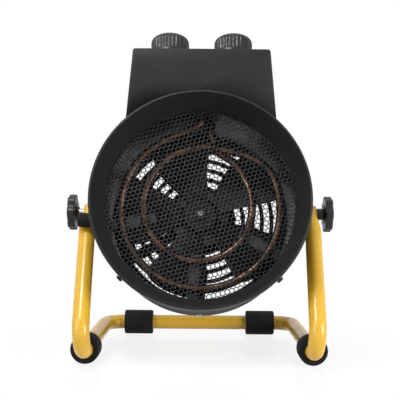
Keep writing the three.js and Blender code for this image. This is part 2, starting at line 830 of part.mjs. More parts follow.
function addElement() {
  const path = elementPath();
  const turns = 2.2;
  const steps = Math.round(elementStepsPerTurn * turns + 18);
  const tube = swept(path, steps, elementDiameter / 2, elementSides);
  add(drumFrame, 'heating_element', tube, sheath);
  [100, 175, 240].forEach((angle, i) => {
    const bracket = elementBracket();
    bracket.rotateY(-rad(angle));
    add(drumFrame, `element_bracket_${i + 1}`, bracket, galvanised);
  });
  [[0, elementDepth], [elementLeadSpacing, elementReturnDepth]].forEach(([x, depth], i) => {
    const base = elementLeadTop + seatGap;
    const terminal = turned([
      [0, base],
      [elementDiameter / 2 - 0.4, base],
      [elementDiameter / 2 - 0.4, base + 2.5],
      [terminalDiameter / 2, base + 2.5],
      [terminalDiameter / 2, base + terminalLength],
      [0, base + terminalLength],
    ], 12);
    terminal.rotateX(Math.PI / 2);
    terminal.translate(x, depth, 0);
    add(drumFrame, `element_terminal_${i + 1}`, terminal, steel);
  });
  const seat = drumRadius + seatGap;
  const middle = (elementDepth + elementReturnDepth) / 2;
  const width = elementLeadSpacing + 2 * mountPlateMargin;
  const length = elementReturnDepth - elementDepth + 2 * mountPlateMargin;
  const mountPlate = block(width, length, mountPlateThickness, elementLeadSpacing / 2, middle, seat);
  const holes = elementHoles(elementDiameter / 2 + boltClearance + 0.2, seat - 3, seat + 5);
  add(drumFrame, 'element_mount_plate', cut(mountPlate, ...holes), steel);
}

// Fan and motor

const motorScrewShank = 1.5;

function motorScrewPlaces() {
  return [-motorScrewRadius, motorScrewRadius];
}

function fanBlade() {
  const half = rad(fanBladeAngle) / 2;
  const steps = 4;
  const arc = (radius, start, end) => Array.from({ length: steps + 1 }, (_, i) => {
    const angle = start + ((end - start) * i) / steps;
    return [radius * Math.cos(angle), radius * Math.sin(angle)];
  });
  const root = fanHubRadius - 1;
  const outline = polygon([...arc(fanRadius, -half, half * 0.85), [fanRadius * 0.62, fanRadius * 0.24],
    ...arc(root, half, -half)]);
  const blade = plate(outline, -fanBladeWall / 2, fanBladeWall / 2);
  blade.rotateX(-rad(fanBladePitch));
  blade.translate(0, fanDepth + fanHubLength / 2 + 0.5, 0);
  return blade;
}

function fanWheel() {
  const bore = shaftDiameter / 2 + seatGap;
  const hubBack = fanDepth + fanHubLength;
  const hub = turned([
    [bore, fanDepth],
    [fanHubRadius - 2.5, fanDepth],
    [fanHubRadius, fanDepth + 2.5],
    [fanHubRadius, hubBack],
    [fanHubRadius - 1.6, hubBack],
    [fanHubRadius - 1.6, fanDepth + 3],
    [7, fanDepth + 3],
    [7, hubBack + 1],
    [bore, hubBack + 1],
    [bore, fanDepth],
  ], motorSides);
  const blades = Array.from({ length: fanBlades }, (_, i) => {
    const blade = fanBlade();
    blade.rotateY(-rad(34 + (i * 360) / fanBlades));
    return blade;
  });
  const inside = band(bore - 1, fanHubRadius - 1.6, fanDepth + 3, hubBack + 3, motorSides);
  const keep = band(bore - 1, 7, fanDepth + 3, hubBack + 3, motorSides);
  return join(hub, ...blades.map((blade) => cut(blade, cut(inside, keep))));
}

// Cups that close the motor's ends, each with a bearing boss towards its shaft's end or its stack
function motorFrontBracket(bossFront, back) {
  const bore = shaftDiameter / 2 + seatGap;
  const face = bossFront + 1;
  return turned([
    [bore, bossFront],
    [bearingRadius, bossFront],
    [bearingRadius, face],
    [motorRadius, face],
    [motorRadius, back],
    [motorRadius - bracketWall, back],
    [motorRadius - bracketWall, face + bracketWall],
    [bearingRadius, face + bracketWall],
    [bearingRadius, back - 1],
    [bore, back - 1],
    [bore, bossFront],
  ], motorSides);
}

function motorRearBracket(front, back) {
  const bore = shaftDiameter / 2 + seatGap;
  return turned([
    [bore, front + 1],
    [bearingRadius, front + 1],
    [bearingRadius, back - bracketWall],
    [motorRadius - bracketWall, back - bracketWall],
    [motorRadius - bracketWall, front],
    [motorRadius, front],
    [motorRadius, back],
    [bore, back],
    [bore, front + 1],
  ], motorSides);
}

const windingBars = (width, from, to) => [0, 90, 180, 270].map((angle) => {
  const middle = (windingInnerRadius + windingOuterRadius) / 2;
  const bar = block(width, to - from, width, 0, (from + to) / 2, middle - width / 2);
  bar.rotateY(rad(angle));
  return bar;
});

// Two end turns joined by the bars that run through the stack
function motorWinding(stackFront, stackBack) {
  const front = stackFront - seatGap;
  const back = stackBack + seatGap;
  return join(
    band(windingInnerRadius, windingOuterRadius, front - windingLength, front, motorSides),
    band(windingInnerRadius, windingOuterRadius, back, back + windingLength, motorSides),
    ...windingBars(windingBarWidth, front - 1, back + 1),
  );
}

function addMotor() {
  const bore = shaftDiameter / 2 + seatGap;
  const stackBack = motorStackDepth + motorStackLength;
  const hubBack = fanDepth + fanHubLength + 1;
  const rearSeat = domeBack - seatGap;
  const nutShape = polygon(nutPoints(9));
  const nutHole = new THREE.Path();
  nutHole.setFromPoints(ringPoints(bore + 0.1, 12).map(([x, y]) => new THREE.Vector2(x, y)));
  nutShape.holes.push(nutHole);
  add(drumFrame, 'fan_wheel', fanWheel(), aluminium);
  add(drumFrame, 'fan_nut', plate(nutShape, fanDepth - seatGap - 4.3, fanDepth - seatGap), steel);
  add(drumFrame, 'motor_shaft', disc(shaftDiameter / 2, fanDepth - 7, rearSeat - 1, 16), steel);
  add(drumFrame, 'motor_rotor', band(bore, rotorRadius, motorStackDepth, stackBack, motorSides), laminations);
  const stack = band(rotorRadius + motorAirGap, motorRadius, motorStackDepth, stackBack, motorSides);
  const slots = windingBars(windingBarWidth + 2 * seatGap, motorStackDepth - 1, stackBack + 1);
  add(drumFrame, 'motor_stator', cut(stack, ...slots), laminations);
  add(drumFrame, 'motor_winding', motorWinding(motorStackDepth, stackBack), copper);
  const frontBracket = motorFrontBracket(hubBack + seatGap, motorStackDepth - seatGap);
  add(drumFrame, 'motor_front_bracket', frontBracket, galvanised);
  const rearDisc = rearSeat - bracketWall;
  const rearBracket = motorRearBracket(stackBack + seatGap, rearSeat);
  const holes = motorScrewPlaces().map((x) => {
    const hole = rod(motorScrewShank + boltClearance, rearDisc - 1, rearSeat + 1, 'y', 10);
    hole.translate(x, 0, 0);
    return hole;
  });
  add(drumFrame, 'motor_rear_bracket', cut(rearBracket, ...holes), galvanised);
  motorScrewPlaces().forEach((x, i) => {
    const at = new THREE.Vector3(x, domeBack + grilleWall + seatGap, 0);
    const geometry = screw(3, 1.8, motorScrewShank, grilleWall + seatGap * 2 + bracketWall);
    addAlong(drumFrame, `motor_screw_${i + 1}`, geometry, steel, at, new THREE.Vector3(0, 1, 0));
  });
  const leadPath = new THREE.CatmullRomCurve3([
    new THREE.Vector3(leadX, motorStackDepth + leadDiameter, motorRadius + seatGap),
    new THREE.Vector3(leadX, motorStackDepth + leadDiameter, motorRadius + 5),
    new THREE.Vector3(leadX, leadDepth, motorRadius + leadRise),
    new THREE.Vector3(leadX, leadDepth, shieldInnerRadius - 10.6),
    new THREE.Vector3(leadX, leadDepth, drumRadius + 4),
    new THREE.Vector3(leadX - 3, leadDepth - 6, drumRadius + 12),
  ]);
  add(drumFrame, 'motor_lead', swept(leadPath, 14, leadDiameter / 2, 8), leadSleeve);
}

// Control box

function boxOutline(inset, bottom) {
  const half = (z) => boxTopWidth / 2 + (boxTop - z) * boxFlare - inset;
  const top = boxTop - inset;
  const round = Math.max(boxCornerRadius - inset, 0.8);
  const shape = new THREE.Shape();
  shape.moveTo(-half(bottom), bottom);
  shape.lineTo(half(bottom), bottom);
  shape.lineTo(half(top - round), top - round);
  shape.quadraticCurveTo(half(top), top, half(top) - round, top);
  shape.lineTo(-half(top) + round, top);
  shape.quadraticCurveTo(-half(top), top, -half(top - round), top - round);
  return shape;
}

function boxSaddle() {
  return disc(drumRadius + seatGap, boxFront - 5, boxBack + 10);
}

const boxBottom = 62;
const coverScrewShank = 1.75;
const coverScrewDrop = 36; // below the top of the box

function coverScrewPlaces() {
  const half = (z) => boxTopWidth / 2 + (boxTop - z) * boxFlare - boxFlange / 2 - 0.6;
  const z = boxTop - coverScrewDrop;
  return [-half(z), half(z)].map((x) => [x, z]);
}

function coverScrewHoles() {
  return coverScrewPlaces().map(([x, z]) => {
    const hole = rod(coverScrewShank + boltClearance, boxBack - 5, boxBack + 5, 'y', 10);
    hole.translate(x, 0, z);
    return hole;
  });
}

function controlHoles() {
  return [-controlX, controlX].map((x) => {
    const hole = rod(bushingDiameter / 2 + boltClearance, boxTop - 5, boxTop + 5, 'z', 16);
    hole.translate(x, controlDepth, 0);
    return hole;
  });
}

function boxShell() {
  return cut(
    plate(boxOutline(0, boxBottom), boxFront, boxBack),
    plate(boxOutline(boxWall, boxBottom - 5), boxFront + boxWall, boxBack - boxWall),
    plate(boxOutline(boxFlange, boxBottom - 5), boxBack - boxWall - 1, boxBack + 1),
    boxSaddle(),
    ...controlHoles(),
    ...coverScrewHoles(),
  );
}

function boxCover() {
  const glandHole = rod(glandDiameter / 2 + boltClearance, boxBack - 3, boxBack + 6, 'y', 20);
  glandHole.translate(glandX, 0, glandHeight);
  return cut(
    plate(boxOutline(0.4, boxBottom), coverFront, coverFront + boxWall),
    boxSaddle(),
    glandHole,
    ...coverScrewHoles(),
  );
}

function cordGland() {
  const back = coverFront + boxWall;
  const outer = glandDiameter / 2;
  const gland = turned([
    [glandBore / 2, coverFront - 8],
    [outer, coverFront - 8],
    [outer, back + seatGap],
    [outer + 3, back + seatGap],
    [outer + 3, back + 3],
    [outer - 1, back + 9],
    [glandBore / 2, back + 9],
    [glandBore / 2, coverFront - 8],
  ], 12);
  gland.translate(glandX, 0, glandHeight);
  return gland;
}

const panelUnder = boxTop - boxWall;
const bushingTop = boxTop + 5.4;
const shaftFoot = panelUnder - 12;

function controlBody(body, x) {
  const top = panelUnder - seatGap;
  const bushing = rod(bushingDiameter / 2, top - 1, bushingTop, 'z', 16);
  const bore = rod(controlShaftDiameter / 2 + seatGap, shaftFoot - seatGap, bushingTop + 2, 'z', 16);
  const whole = cut(join(body, bushing), bore);
  whole.translate(x, controlDepth, 0);
  return whole;
}

function controlKnob() {
  const top = knobBase + knobHeight;
  const sides = knobRibs * 2;
  const shoulder = 4.5;
  const knob = turned([
    [0, top - knobWall],
    [knobTopRadius - knobWall - 1, top - knobWall - 1.5],
    [knobRadius - knobWall - knobRibDepth, knobBase],
    [knobRadius, knobBase],
    [knobRadius, knobBase + 4],
    [knobTopRadius + 0.4, top - shoulder],
    [knobTopRadius - 1.2, top - shoulder * 0.35],
    [knobTopRadius - shoulder, top - 0.4],
    [0, top],
  ], sides);
  const position = knob.getAttribute('position');
  for (let i = 0; i < position.count; i += 1) {
    const [x, y, z] = [position.getX(i), position.getY(i), position.getZ(i)];
    const radius = Math.hypot(x, z);
    const side = Math.round((Math.atan2(x, z) / (2 * Math.PI)) * sides);
    const outside = radius > knobTopRadius - 1.5 && y > knobBase + 2 && y < top - 1;
    if (outside && side % 2 !== 0) {
      const scale = (radius - knobRibDepth) / radius;
      position.setXYZ(i, x * scale, y, z * scale);
    }
  }
  const bossInner = controlShaftDiameter / 2 + seatGap;
  const boss = band(bossInner, bossInner + 3, bushingTop + 0.6, top - knobWall + 0.6, 16);
  const whole = join(knob, boss);
  whole.rotateX(Math.PI / 2);
  return whole;
}

function addControls() {
  const bodyTop = panelUnder - seatGap;
  const switchBlock = block(switchSize, switchSize, switchHeight, 0, 0, bodyTop - switchHeight);
  const thermostatCan = rod(thermostatDiameter / 2, bodyTop - thermostatHeight, bodyTop, 'z', 20);
  add(drumFrame, 'switch_body', controlBody(switchBlock, -controlX), blackPlastic);
  add(drumFrame, 'thermostat_body', controlBody(thermostatCan, controlX), ivoryPlastic);
  const shaftTop = knobBase + knobHeight - knobWall - 2.5;
  for (const [name, x] of [['switch', -controlX], ['thermostat', controlX]]) {
    const nutShape = polygon(nutPoints(controlNutWidth));
    const hole = new THREE.Path();
    hole.setFromPoints(ringPoints(bushingDiameter / 2 + seatGap, 16).map(([a, b]) => new THREE.Vector2(a, b)));
    nutShape.holes.push(hole);
    const nut = new THREE.ExtrudeGeometry(nutShape, { depth: controlNutThickness, bevelEnabled: false });
    nut.translate(x, controlDepth, boxTop + seatGap);
    add(drumFrame, `${name}_nut`, nut, steel);
    const shaft = rod(controlShaftDiameter / 2, shaftFoot, shaftTop, 'z', 16);
    shaft.translate(x, controlDepth, 0);
    add(drumFrame, `${name}_shaft`, shaft, steel);
    const knob = add(drumFrame, `${name}_knob`, controlKnob(), blackPlastic);
    knob.position.set(x, controlDepth, 0);
  }
}

// Both stand on the drum inside the box, with their feet cut to its curve
function terminalBlock() {
  const top = drumRadius + terminalBlockHeight;
  const x = -(boxTopWidth / 2 - terminalBlockInset);
  const bottom = drumRadius - terminalBlockInset / 2;
  const body = block(terminalBlockWidth, terminalBlockLength, top - bottom, x, boxMiddle, bottom);
  const holes = [-1.5, -0.5, 0.5, 1.5].map((step) => {
    const hole = rod(terminalHoleRadius, top - terminalBlockHeight / 2, top + 5, 'z', 10);
    hole.translate(x, boxMiddle + step * terminalPitch, 0);
    return hole;
  });
  return cut(body, boxSaddle(), ...holes);
}

function thermalCutOut() {
  const top = drumRadius + cutOutHeight;
  const bottom = drumRadius - cutOutInset / 2;
  const can = rod(cutOutRadius, bottom, top, 'z', 16);
  const earBottom = drumRadius - cutOutInset / 4;
  const ears = block(cutOutEar, cutOutEarWidth, cutOutEarThickness, 0, 0, earBottom);
  const cutOut = join(can, ears);
  cutOut.translate(boxTopWidth / 2 - cutOutInset, boxMiddle, 0);
  return cut(cutOut, boxSaddle());
}

function addBox() {
  add(drumFrame, 'box_shell', boxShell(), blackPaint);
  add(drumFrame, 'box_rear_cover', boxCover(), blackPaint);
  add(drumFrame, 'cord_gland', cordGland(), blackPlastic);
  coverScrewPlaces().forEach(([x, z], i) => {
    const at = new THREE.Vector3(x, coverFront + boxWall + seatGap, z);
    const geometry = screw(3.4, 1.9, coverScrewShank, 6);
    addAlong(drumFrame, `cover_screw_${i + 1}`, geometry, steel, at, new THREE.Vector3(0, 1, 0));
  });
  add(drumFrame, 'terminal_block', terminalBlock(), ivoryPlastic);
  add(drumFrame, 'thermal_cut_out', thermalCutOut(), blackPlastic);
}

// Clamp knobs with their bolts

function clampKnob() {
  const count = clampLobes * 6;
  const outline = Array.from({ length: count }, (_, i) => {
    const angle = (i / count) * 2 * Math.PI;
    const wave = (1 - Math.cos(angle * clampLobes)) / 2;
    const radius = clampDiameter / 2 - clampLobeDepth * wave;
    return [radius * Math.cos(angle), radius * Math.sin(angle)];
  });
  const stubBack = tabOuter + seatGap;
  const gripBack = stubBack + clampStubLength;
  const grip = new THREE.ExtrudeGeometry(polygon(outline), {
    depth: clampThickness - 2.4,
    bevelEnabled: true,
    bevelThickness: 1.2,
    bevelSize: 1.2,
    bevelOffset: -1.2,
    bevelSegments: 1,
  });
  grip.translate(0, 0, gripBack + 1.2);
  const stubRadius = clampStubDiameter / 2;
  const stub = new THREE.CylinderGeometry(stubRadius, stubRadius, clampStubLength + 1, 20);
  stub.rotateX(Math.PI / 2);
  stub.translate(0, 0, stubBack + (clampStubLength + 1) / 2);
  const socketLength = clampBoltGrip + 3.5;
  const socket = new THREE.CylinderGeometry(boltRadius + seatGap, boltRadius + seatGap, socketLength, 16);
  socket.rotateX(Math.PI / 2);
  socket.translate(0, 0, stubBack + clampBoltGrip + 0.5 - socketLength / 2);
  return cut(join(grip, stub), socket).rotateY(Math.PI / 2);
}

function clampBolt() {
  const from = drumInnerRadius - clampBoltReach;
  const to = tabOuter + seatGap + clampBoltGrip;
  return rod(boltRadius, from, to, 'x', 16);
}

function addClamps() {
  for (const [name, turn] of [['right', 0], ['left', Math.PI]]) {
    const knob = add(drumFrame, `clamp_knob_${name}`, clampKnob(), blackPlastic);
    const bolt = add(drumFrame, `clamp_bolt_${name}`, clampBolt(), steel);
    for (const piece of [knob, bolt]) {
      piece.position.y = pivotDepth;
      piece.rotation.z = turn;
    }
  }
}

addStand();
addFront();
addDrum();
addElement();
addMotor();
addBox();
addControls();
addClamps();

const extent = new THREE.Box3().setFromObject(heater, true);
heater.position.y = -(extent.min.y + extent.max.y) / 2;
heater.position.z = -extent.min.z;

export default heater;
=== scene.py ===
# Forced air heater on its tube stand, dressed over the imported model. Metres, +Z up, the mouth faces -Y.
import json
import math

import bpy
import bmesh
from mathutils import Matrix, Vector


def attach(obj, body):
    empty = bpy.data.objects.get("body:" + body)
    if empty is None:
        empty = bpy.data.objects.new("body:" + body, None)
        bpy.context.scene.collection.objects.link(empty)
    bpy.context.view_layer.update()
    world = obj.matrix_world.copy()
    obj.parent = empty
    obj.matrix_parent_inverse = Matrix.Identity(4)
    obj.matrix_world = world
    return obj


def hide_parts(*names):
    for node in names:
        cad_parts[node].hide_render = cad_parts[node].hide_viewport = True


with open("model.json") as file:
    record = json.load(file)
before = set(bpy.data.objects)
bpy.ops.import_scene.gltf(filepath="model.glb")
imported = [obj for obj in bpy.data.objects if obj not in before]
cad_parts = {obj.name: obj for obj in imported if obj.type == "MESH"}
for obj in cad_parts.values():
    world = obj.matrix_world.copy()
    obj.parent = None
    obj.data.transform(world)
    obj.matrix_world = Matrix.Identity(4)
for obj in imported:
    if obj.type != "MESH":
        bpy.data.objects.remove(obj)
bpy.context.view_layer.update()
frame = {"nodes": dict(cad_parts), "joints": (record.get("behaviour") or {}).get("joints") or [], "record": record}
nodes = frame["nodes"]
print("frame loaded:", len(nodes), "nodes")

# The drum's own axes: x to the right, y the depth behind the front plane, z up, in millimetres
tilt = next(joint for joint in frame["joints"] if joint["name"] == "head_tilt")
pivot = Vector(tilt["pos_m"])
drum = {"restTilt": 12.5, "pivotDepth": 72.4}
millimetres = Matrix.Scale(0.001, 4)
drumSpace = (
    Matrix.Translation(pivot)
    @ Matrix.Rotation(math.radians(-drum["restTilt"]), 4, "X")
    @ Matrix.Translation((0, -drum["pivotDepth"] / 1000, 0))
    @ millimetres
)


# Camera

camera = {"lens": 70.67, "shiftUp": 0.1145, "height": 148.3, "distance": 709.1, "pitch": 2.87, "roll": 0.5}
pivotSetback = 79.5
frontBend = pivot.y * 1000 - pivotSetback


def makeCamera():
    data = bpy.data.cameras.new("camera")
    data.lens, data.sensor_width = camera["lens"], 36.0
    data.shift_y = camera["shiftUp"]
    data.clip_start, data.clip_end = 0.01, 50.0
    eye = bpy.data.objects.new("camera", data)
    bpy.context.scene.collection.objects.link(eye)
    eye.matrix_world = (
        Matrix.Translation((0.0, (frontBend - camera["distance"]) / 1000, camera["height"] / 1000))
        @ Matrix.Rotation(math.radians(90 - camera["pitch"]), 4, "X")
        @ Matrix.Rotation(math.radians(camera["roll"]), 4, "Z")
    )
    bpy.context.scene.camera = eye


makeCamera()
print("camera placed")


# Node and colour helpers

def linear(hexColour):
    channels = [int(hexColour[i:i + 2], 16) / 255 for i in (1, 3, 5)]
    return [c / 12.92 if c <= 0.04045 else ((c + 0.055) / 1.055) ** 2.4 for c in channels] + [1.0]


def addNode(tree, kind, settings=None, links=None):
    made = tree.nodes.new(kind)
    for key, value in (settings or {}).items():
        setattr(made, key, value)
    for key, value in (links or {}).items():
        if isinstance(value, bpy.types.NodeSocket):
            tree.links.new(value, made.inputs[key])
        else:
            made.inputs[key].default_value = value
    return made


def startMaterial(name):
    material = bpy.data.materials.new(name)
    material.use_nodes = True
    tree = material.node_tree
    tree.nodes.clear()
    spot = addNode(tree, "ShaderNodeTexCoord").outputs["Object"]
    return material, tree, spot


def finishMaterial(tree, surface):
    shader = addNode(tree, "ShaderNodeBsdfPrincipled", None, surface)
    addNode(tree, "ShaderNodeOutputMaterial", None, {"Surface": shader.outputs["BSDF"]})


def perMillimetre(size):
    return 1000.0 / size


# Powder coat: sprayed dry and baked, so it has a soft orange peel; its convex edges carry a painted highlight, a
# lighter edge colour
powderCoats = {
    # Each edge colour is a painted highlight, laid on convex edges
    "blackPowderCoat": {"colour": "#1a1a1a", "mottle": "#1f1f20", "edge": "#2f3032", "roughness": 0.5,
                        "grain": 1.3, "relief": 0.05, "coat": 0.0, "gloss": 0.16},
    "yellowPowderCoat": {"colour": "#cba02f", "mottle": "#c09524", "edge": "#d8b65a", "roughness": 0.3,
                         "grain": 2.2, "relief": 0.035, "coat": 0.12, "gloss": 0.4},
}


def powderCoat(name):
    look = powderCoats[name]
    material, tree, spot = startMaterial(name)
    cloud = addNode(tree, "ShaderNodeTexNoise", None,
                    {"Vector": spot, "Scale": perMillimetre(28), "Detail": 3.0, "Roughness": 0.55})
    # Real orange peel is 0.3 to 0.5 mm across: drawn coarser so that it shows
    peel = addNode(tree, "ShaderNodeTexNoise", None,
                   {"Vector": spot, "Scale": perMillimetre(look["grain"]), "Detail": 2.0})
    body = addNode(tree, "ShaderNodeMix", {"data_type": "RGBA"},
                   {"Factor": cloud.outputs["Fac"], "A": linear(look["colour"]), "B": linear(look["mottle"])})
    # Painted highlight: convex edges, found by pointiness, are mixed towards the lighter edge colour
    surfaceShape = addNode(tree, "ShaderNodeNewGeometry")
    edgeHighlightMask = addNode(tree, "ShaderNodeMapRange", None,
                  {"Value": surfaceShape.outputs["Pointiness"], "From Min": 0.53, "From Max": 0.62})
    colour = addNode(tree, "ShaderNodeMix", {"data_type": "RGBA"},
                     {"Factor": edgeHighlightMask.outputs["Result"], "A": body.outputs["Result"],
                      "B": linear(look["edge"])})
    rough = addNode(tree, "ShaderNodeMapRange", None,
                    {"Value": cloud.outputs["Fac"], "From Min": 0.3, "From Max": 0.7,
                     "To Min": look["roughness"] - 0.05, "To Max": look["roughness"] + 0.06})
    bump = addNode(tree, "ShaderNodeBump", None,
                   {"Height": peel.outputs["Fac"], "Strength": look["relief"] * 4, "Distance": 0.0004})
    finishMaterial(tree, {
        "Base Color": colour.outputs["Result"], "Roughness": rough.outputs["Result"],
        "Normal": bump.outputs["Normal"], "IOR": 1.5, "Specular IOR Level": look["gloss"],
        "Coat Weight": look["coat"], "Coat Roughness": 0.12,
    })
    return material


# Moulded plastic and rubber: the tool's spark texture breaks up the highlight
mouldings = {
    "blackNylon": {"colour": "#161618", "mottle": "#1c1c1f", "roughness": 0.36, "grain": 0.9, "relief": 0.12,
                   "gloss": 0.32},
    "ivoryNylon": {"colour": "#d6cfbb", "mottle": "#cbc3ac", "roughness": 0.55, "grain": 1.0, "relief": 0.1,
                   "gloss": 0.5},
    "blackRubber": {"colour": "#121212", "mottle": "#191918", "roughness": 0.78, "grain": 1.1, "relief": 0.2,
                    "gloss": 0.15},
    "silicone": {"colour": "#241d1c", "mottle": "#302625", "roughness": 0.6, "grain": 1.2, "relief": 0.2,
                 "gloss": 0.3},
    "whiteInk": {"colour": "#dcdcd8", "mottle": "#d0d0cb", "roughness": 0.6, "grain": 1.5, "relief": 0.05,
                 "gloss": 0.5},
}


def moulded(name):
    look = mouldings[name]
    material, tree, spot = startMaterial(name)
    spark = addNode(tree, "ShaderNodeTexNoise", None,
                    {"Vector": spot, "Scale": perMillimetre(look["grain"]), "Detail": 4.0, "Roughness": 0.65})
    flow = addNode(tree, "ShaderNodeTexNoise", None,
                   {"Vector": spot, "Scale": perMillimetre(18), "Detail": 2.0})
    colour = addNode(tree, "ShaderNodeMix", {"data_type": "RGBA"},
                     {"Factor": flow.outputs["Fac"], "A": linear(look["colour"]),
                      "B": linear(look["mottle"])})
    rough = addNode(tree, "ShaderNodeMapRange", None,
                    {"Value": flow.outputs["Fac"], "From Min": 0.3, "From Max": 0.7,
                     "To Min": look["roughness"] - 0.06, "To Max": look["roughness"] + 0.06})
    bump = addNode(tree, "ShaderNodeBump", None,
                   {"Height": spark.outputs["Fac"], "Strength": look["relief"], "Distance": 0.0003})
    finishMaterial(tree, {
        "Base Color": colour.outputs["Result"], "Roughness": rough.outputs["Result"],
        "Normal": bump.outputs["Normal"], "IOR": 1.5, "Specular IOR Level": look["gloss"],
    })
    return material


# Metals: rolled or drawn stock, with the streaks of the rolls or the die along one direction
metals = {
    "zincPlatedSteel": {"colour": "#b4b7ba", "stain": "#8f9396", "roughness": 0.28, "stretch": (1, 1, 1),
                        "mark": 3.0},
    "galvanisedSheet": {"colour": "#4e5052", "stain": "#383a3c", "roughness": 0.48, "stretch": (1, 1, 1),
                        "mark": 9.0},
    "guardWire": {"colour": "#4c4c4d", "stain": "#343435", "roughness": 0.42, "stretch": (1, 1, 1),
                  "mark": 2.5},
    "dullAluminium": {"colour": "#313335", "stain": "#222426", "roughness": 0.42, "stretch": (1, 6, 1),
                      "mark": 4.0},
    "siliconSteel": {"colour": "#5a5d60", "stain": "#3a3c3e", "roughness": 0.5, "stretch": (0.1, 12, 0.1),
                     "mark": 1.0},
    "enamelledCopper": {"colour": "#9c4f25", "stain": "#6b3216", "roughness": 0.35, "stretch": (1, 9, 1),
                        "mark": 1.2},
    "heatedSheath": {"colour": "#745a4a", "stain": "#332a26", "roughness": 0.33, "stretch": (1, 1, 1),
                     "mark": 14.0},
}


def metal(name):
    look = metals[name]
    material, tree, spot = startMaterial(name)
    along = addNode(tree, "ShaderNodeMapping", None, {"Vector": spot, "Scale": look["stretch"]})
    mark = addNode(tree, "ShaderNodeTexNoise", None,
                   {"Vector": along.outputs["Vector"], "Scale": perMillimetre(look["mark"]), "Detail": 4.0,
                    "Roughness": 0.6})
    fine = addNode(tree, "ShaderNodeTexNoise", None,
                   {"Vector": along.outputs["Vector"], "Scale": perMillimetre(0.8), "Detail": 2.0})
    span = addNode(tree, "ShaderNodeMapRange", None,
                   {"Value": mark.outputs["Fac"], "From Min": 0.35, "From Max": 0.65})
    colour = addNode(tree, "ShaderNodeMix", {"data_type": "RGBA"},
                     {"Factor": span.outputs["Result"], "A": linear(look["colour"]),
                      "B": linear(look["stain"])})
    rough = addNode(tree, "ShaderNodeMapRange", None,
                    {"Value": mark.outputs["Fac"], "From Min": 0.3, "From Max": 0.7,
                     "To Min": look["roughness"] - 0.07, "To Max": look["roughness"] + 0.1})
    bump = addNode(tree, "ShaderNodeBump", None,
                   {"Height": fine.outputs["Fac"], "Strength": 0.08, "Distance": 0.0002})
    finishMaterial(tree, {
        "Base Color": colour.outputs["Result"], "Metallic": 1.0, "Roughness": rough.outputs["Result"],
        "Normal": bump.outputs["Normal"],
    })
    return material


materials = {name: powderCoat(name) for name in powderCoats}
materials.update({name: moulded(name) for name in mouldings})
materials.update({name: metal(name) for name in metals})
slotMaterials = {
    "black_powder_coat": "blackPowderCoat",
    "yellow_powder_coat": "yellowPowderCoat",
    "black_rubber": "blackRubber",
    "black_plastic": "blackNylon",
    "ivory_plastic": "ivoryNylon",
    "bright_steel": "zincPlatedSteel",
    "galvanised_steel": "galvanisedSheet",
    "element_sheath": "heatedSheath",
    "fan_aluminium": "dullAluminium",
    "motor_laminations": "siliconSteel",
    "copper_wire": "enamelledCopper",
    "lead_sleeve": "silicone",
}
slotOfNode = {part["node"]: part["material_slot"] for part in frame["record"]["subparts"]}
bodyOfNode = {node: body for body, members in frame["record"]["behaviour"]["bodies"].items()
              for node in members}
for name, cadObject in nodes.items():
    cadObject.data.materials.clear()
    cadObject.data.materials.append(materials[slotMaterials[slotOfNode[name]]])
# The fan's nut takes the darker galvanised material in place of the bright zinc plating
nodes["fan_nut"].data.materials[0] = materials["galvanisedSheet"]
print("materials made:", len(materials))


# Shape helpers: a shape is a list of points in millimetres and a list of faces

def softened(points, radius, steps, closed=False):
    count = len(points)
    smooth = []
    for i, (x, y) in enumerate(points):
        if not closed and i in (0, count - 1):
            smooth.append((x, y))
            continue
        here = Vector((x, y))
        before, after = Vector(points[i - 1]), Vector(points[(i + 1) % count])
        reach = radius[i] if isinstance(radius, (list, tuple)) else radius
        reach = min(reach, (before - here).length * 0.48, (after - here).length * 0.48)
        if reach < 0.02:
            smooth.append((x, y))
            continue
        start = here + (before - here).normalized() * reach
        end = here + (after - here).normalized() * reach
        for k in range(steps + 1):
            t = k / steps
            point = start * (1 - t) ** 2 + here * 2 * t * (1 - t) + end * t ** 2
            smooth.append((point.x, point.y))
    return smooth


def turned(profile, segments, closed=False, wave=None):
    points, rows = [], []
    for radius, along in profile:
        if radius < 1e-6:
            rows.append([len(points)])
            points.append((0.0, along, 0.0))
            continue
        rows.append(list(range(len(points), len(points) + segments)))
        for k in range(segments):
            angle = 2 * math.pi * k / segments
            r = radius + (wave(radius, along, angle) if wave else 0.0)
            points.append((r * math.sin(angle), along, r * math.cos(angle)))
    faces = []
    pairs = list(zip(rows, rows[1:])) + ([(rows[-1], rows[0])] if closed else [])
    for a, b in pairs:
        for k in range(segments):
            n = (k + 1) % segments
            if len(a) == 1:
                faces.append((a[0], b[n], b[k]))
            elif len(b) == 1:
                faces.append((a[k], a[n], b[0]))
            else:
                faces.append((a[k], a[n], b[n], b[k]))
    return points, faces


def moved(shape, matrix):
    points, faces = shape
    return [tuple(matrix @ Vector(p)) for p in points], faces


def sweptTube(path, radius, sides, reshape=None):
    points, faces, rows = [], [], []
    tangents = []
    for i in range(len(path)):
        ahead, behind = path[min(i + 1, len(path) - 1)], path[max(i - 1, 0)]
        tangents.append((ahead - behind).normalized())
    normal = tangents[0].orthogonal().normalized()
    for i, centre in enumerate(path):
        if i:
            normal = tangents[i - 1].rotation_difference(tangents[i]) @ normal
        across = tangents[i].cross(normal)
        rows.append(list(range(len(points), len(points) + sides)))
        for k in range(sides):
            angle = 2 * math.pi * k / sides
            point = centre + (normal * math.cos(angle) + across * math.sin(angle)) * radius
            points.append(tuple(reshape(point) if reshape else point))
    for a, b in zip(rows, rows[1:]):
        for k in range(sides):
            n = (k + 1) % sides
            faces.append((a[k], a[n], b[n], b[k]))
    faces.append(tuple(reversed(rows[0])))
    faces.append(tuple(rows[-1]))
    return points, faces


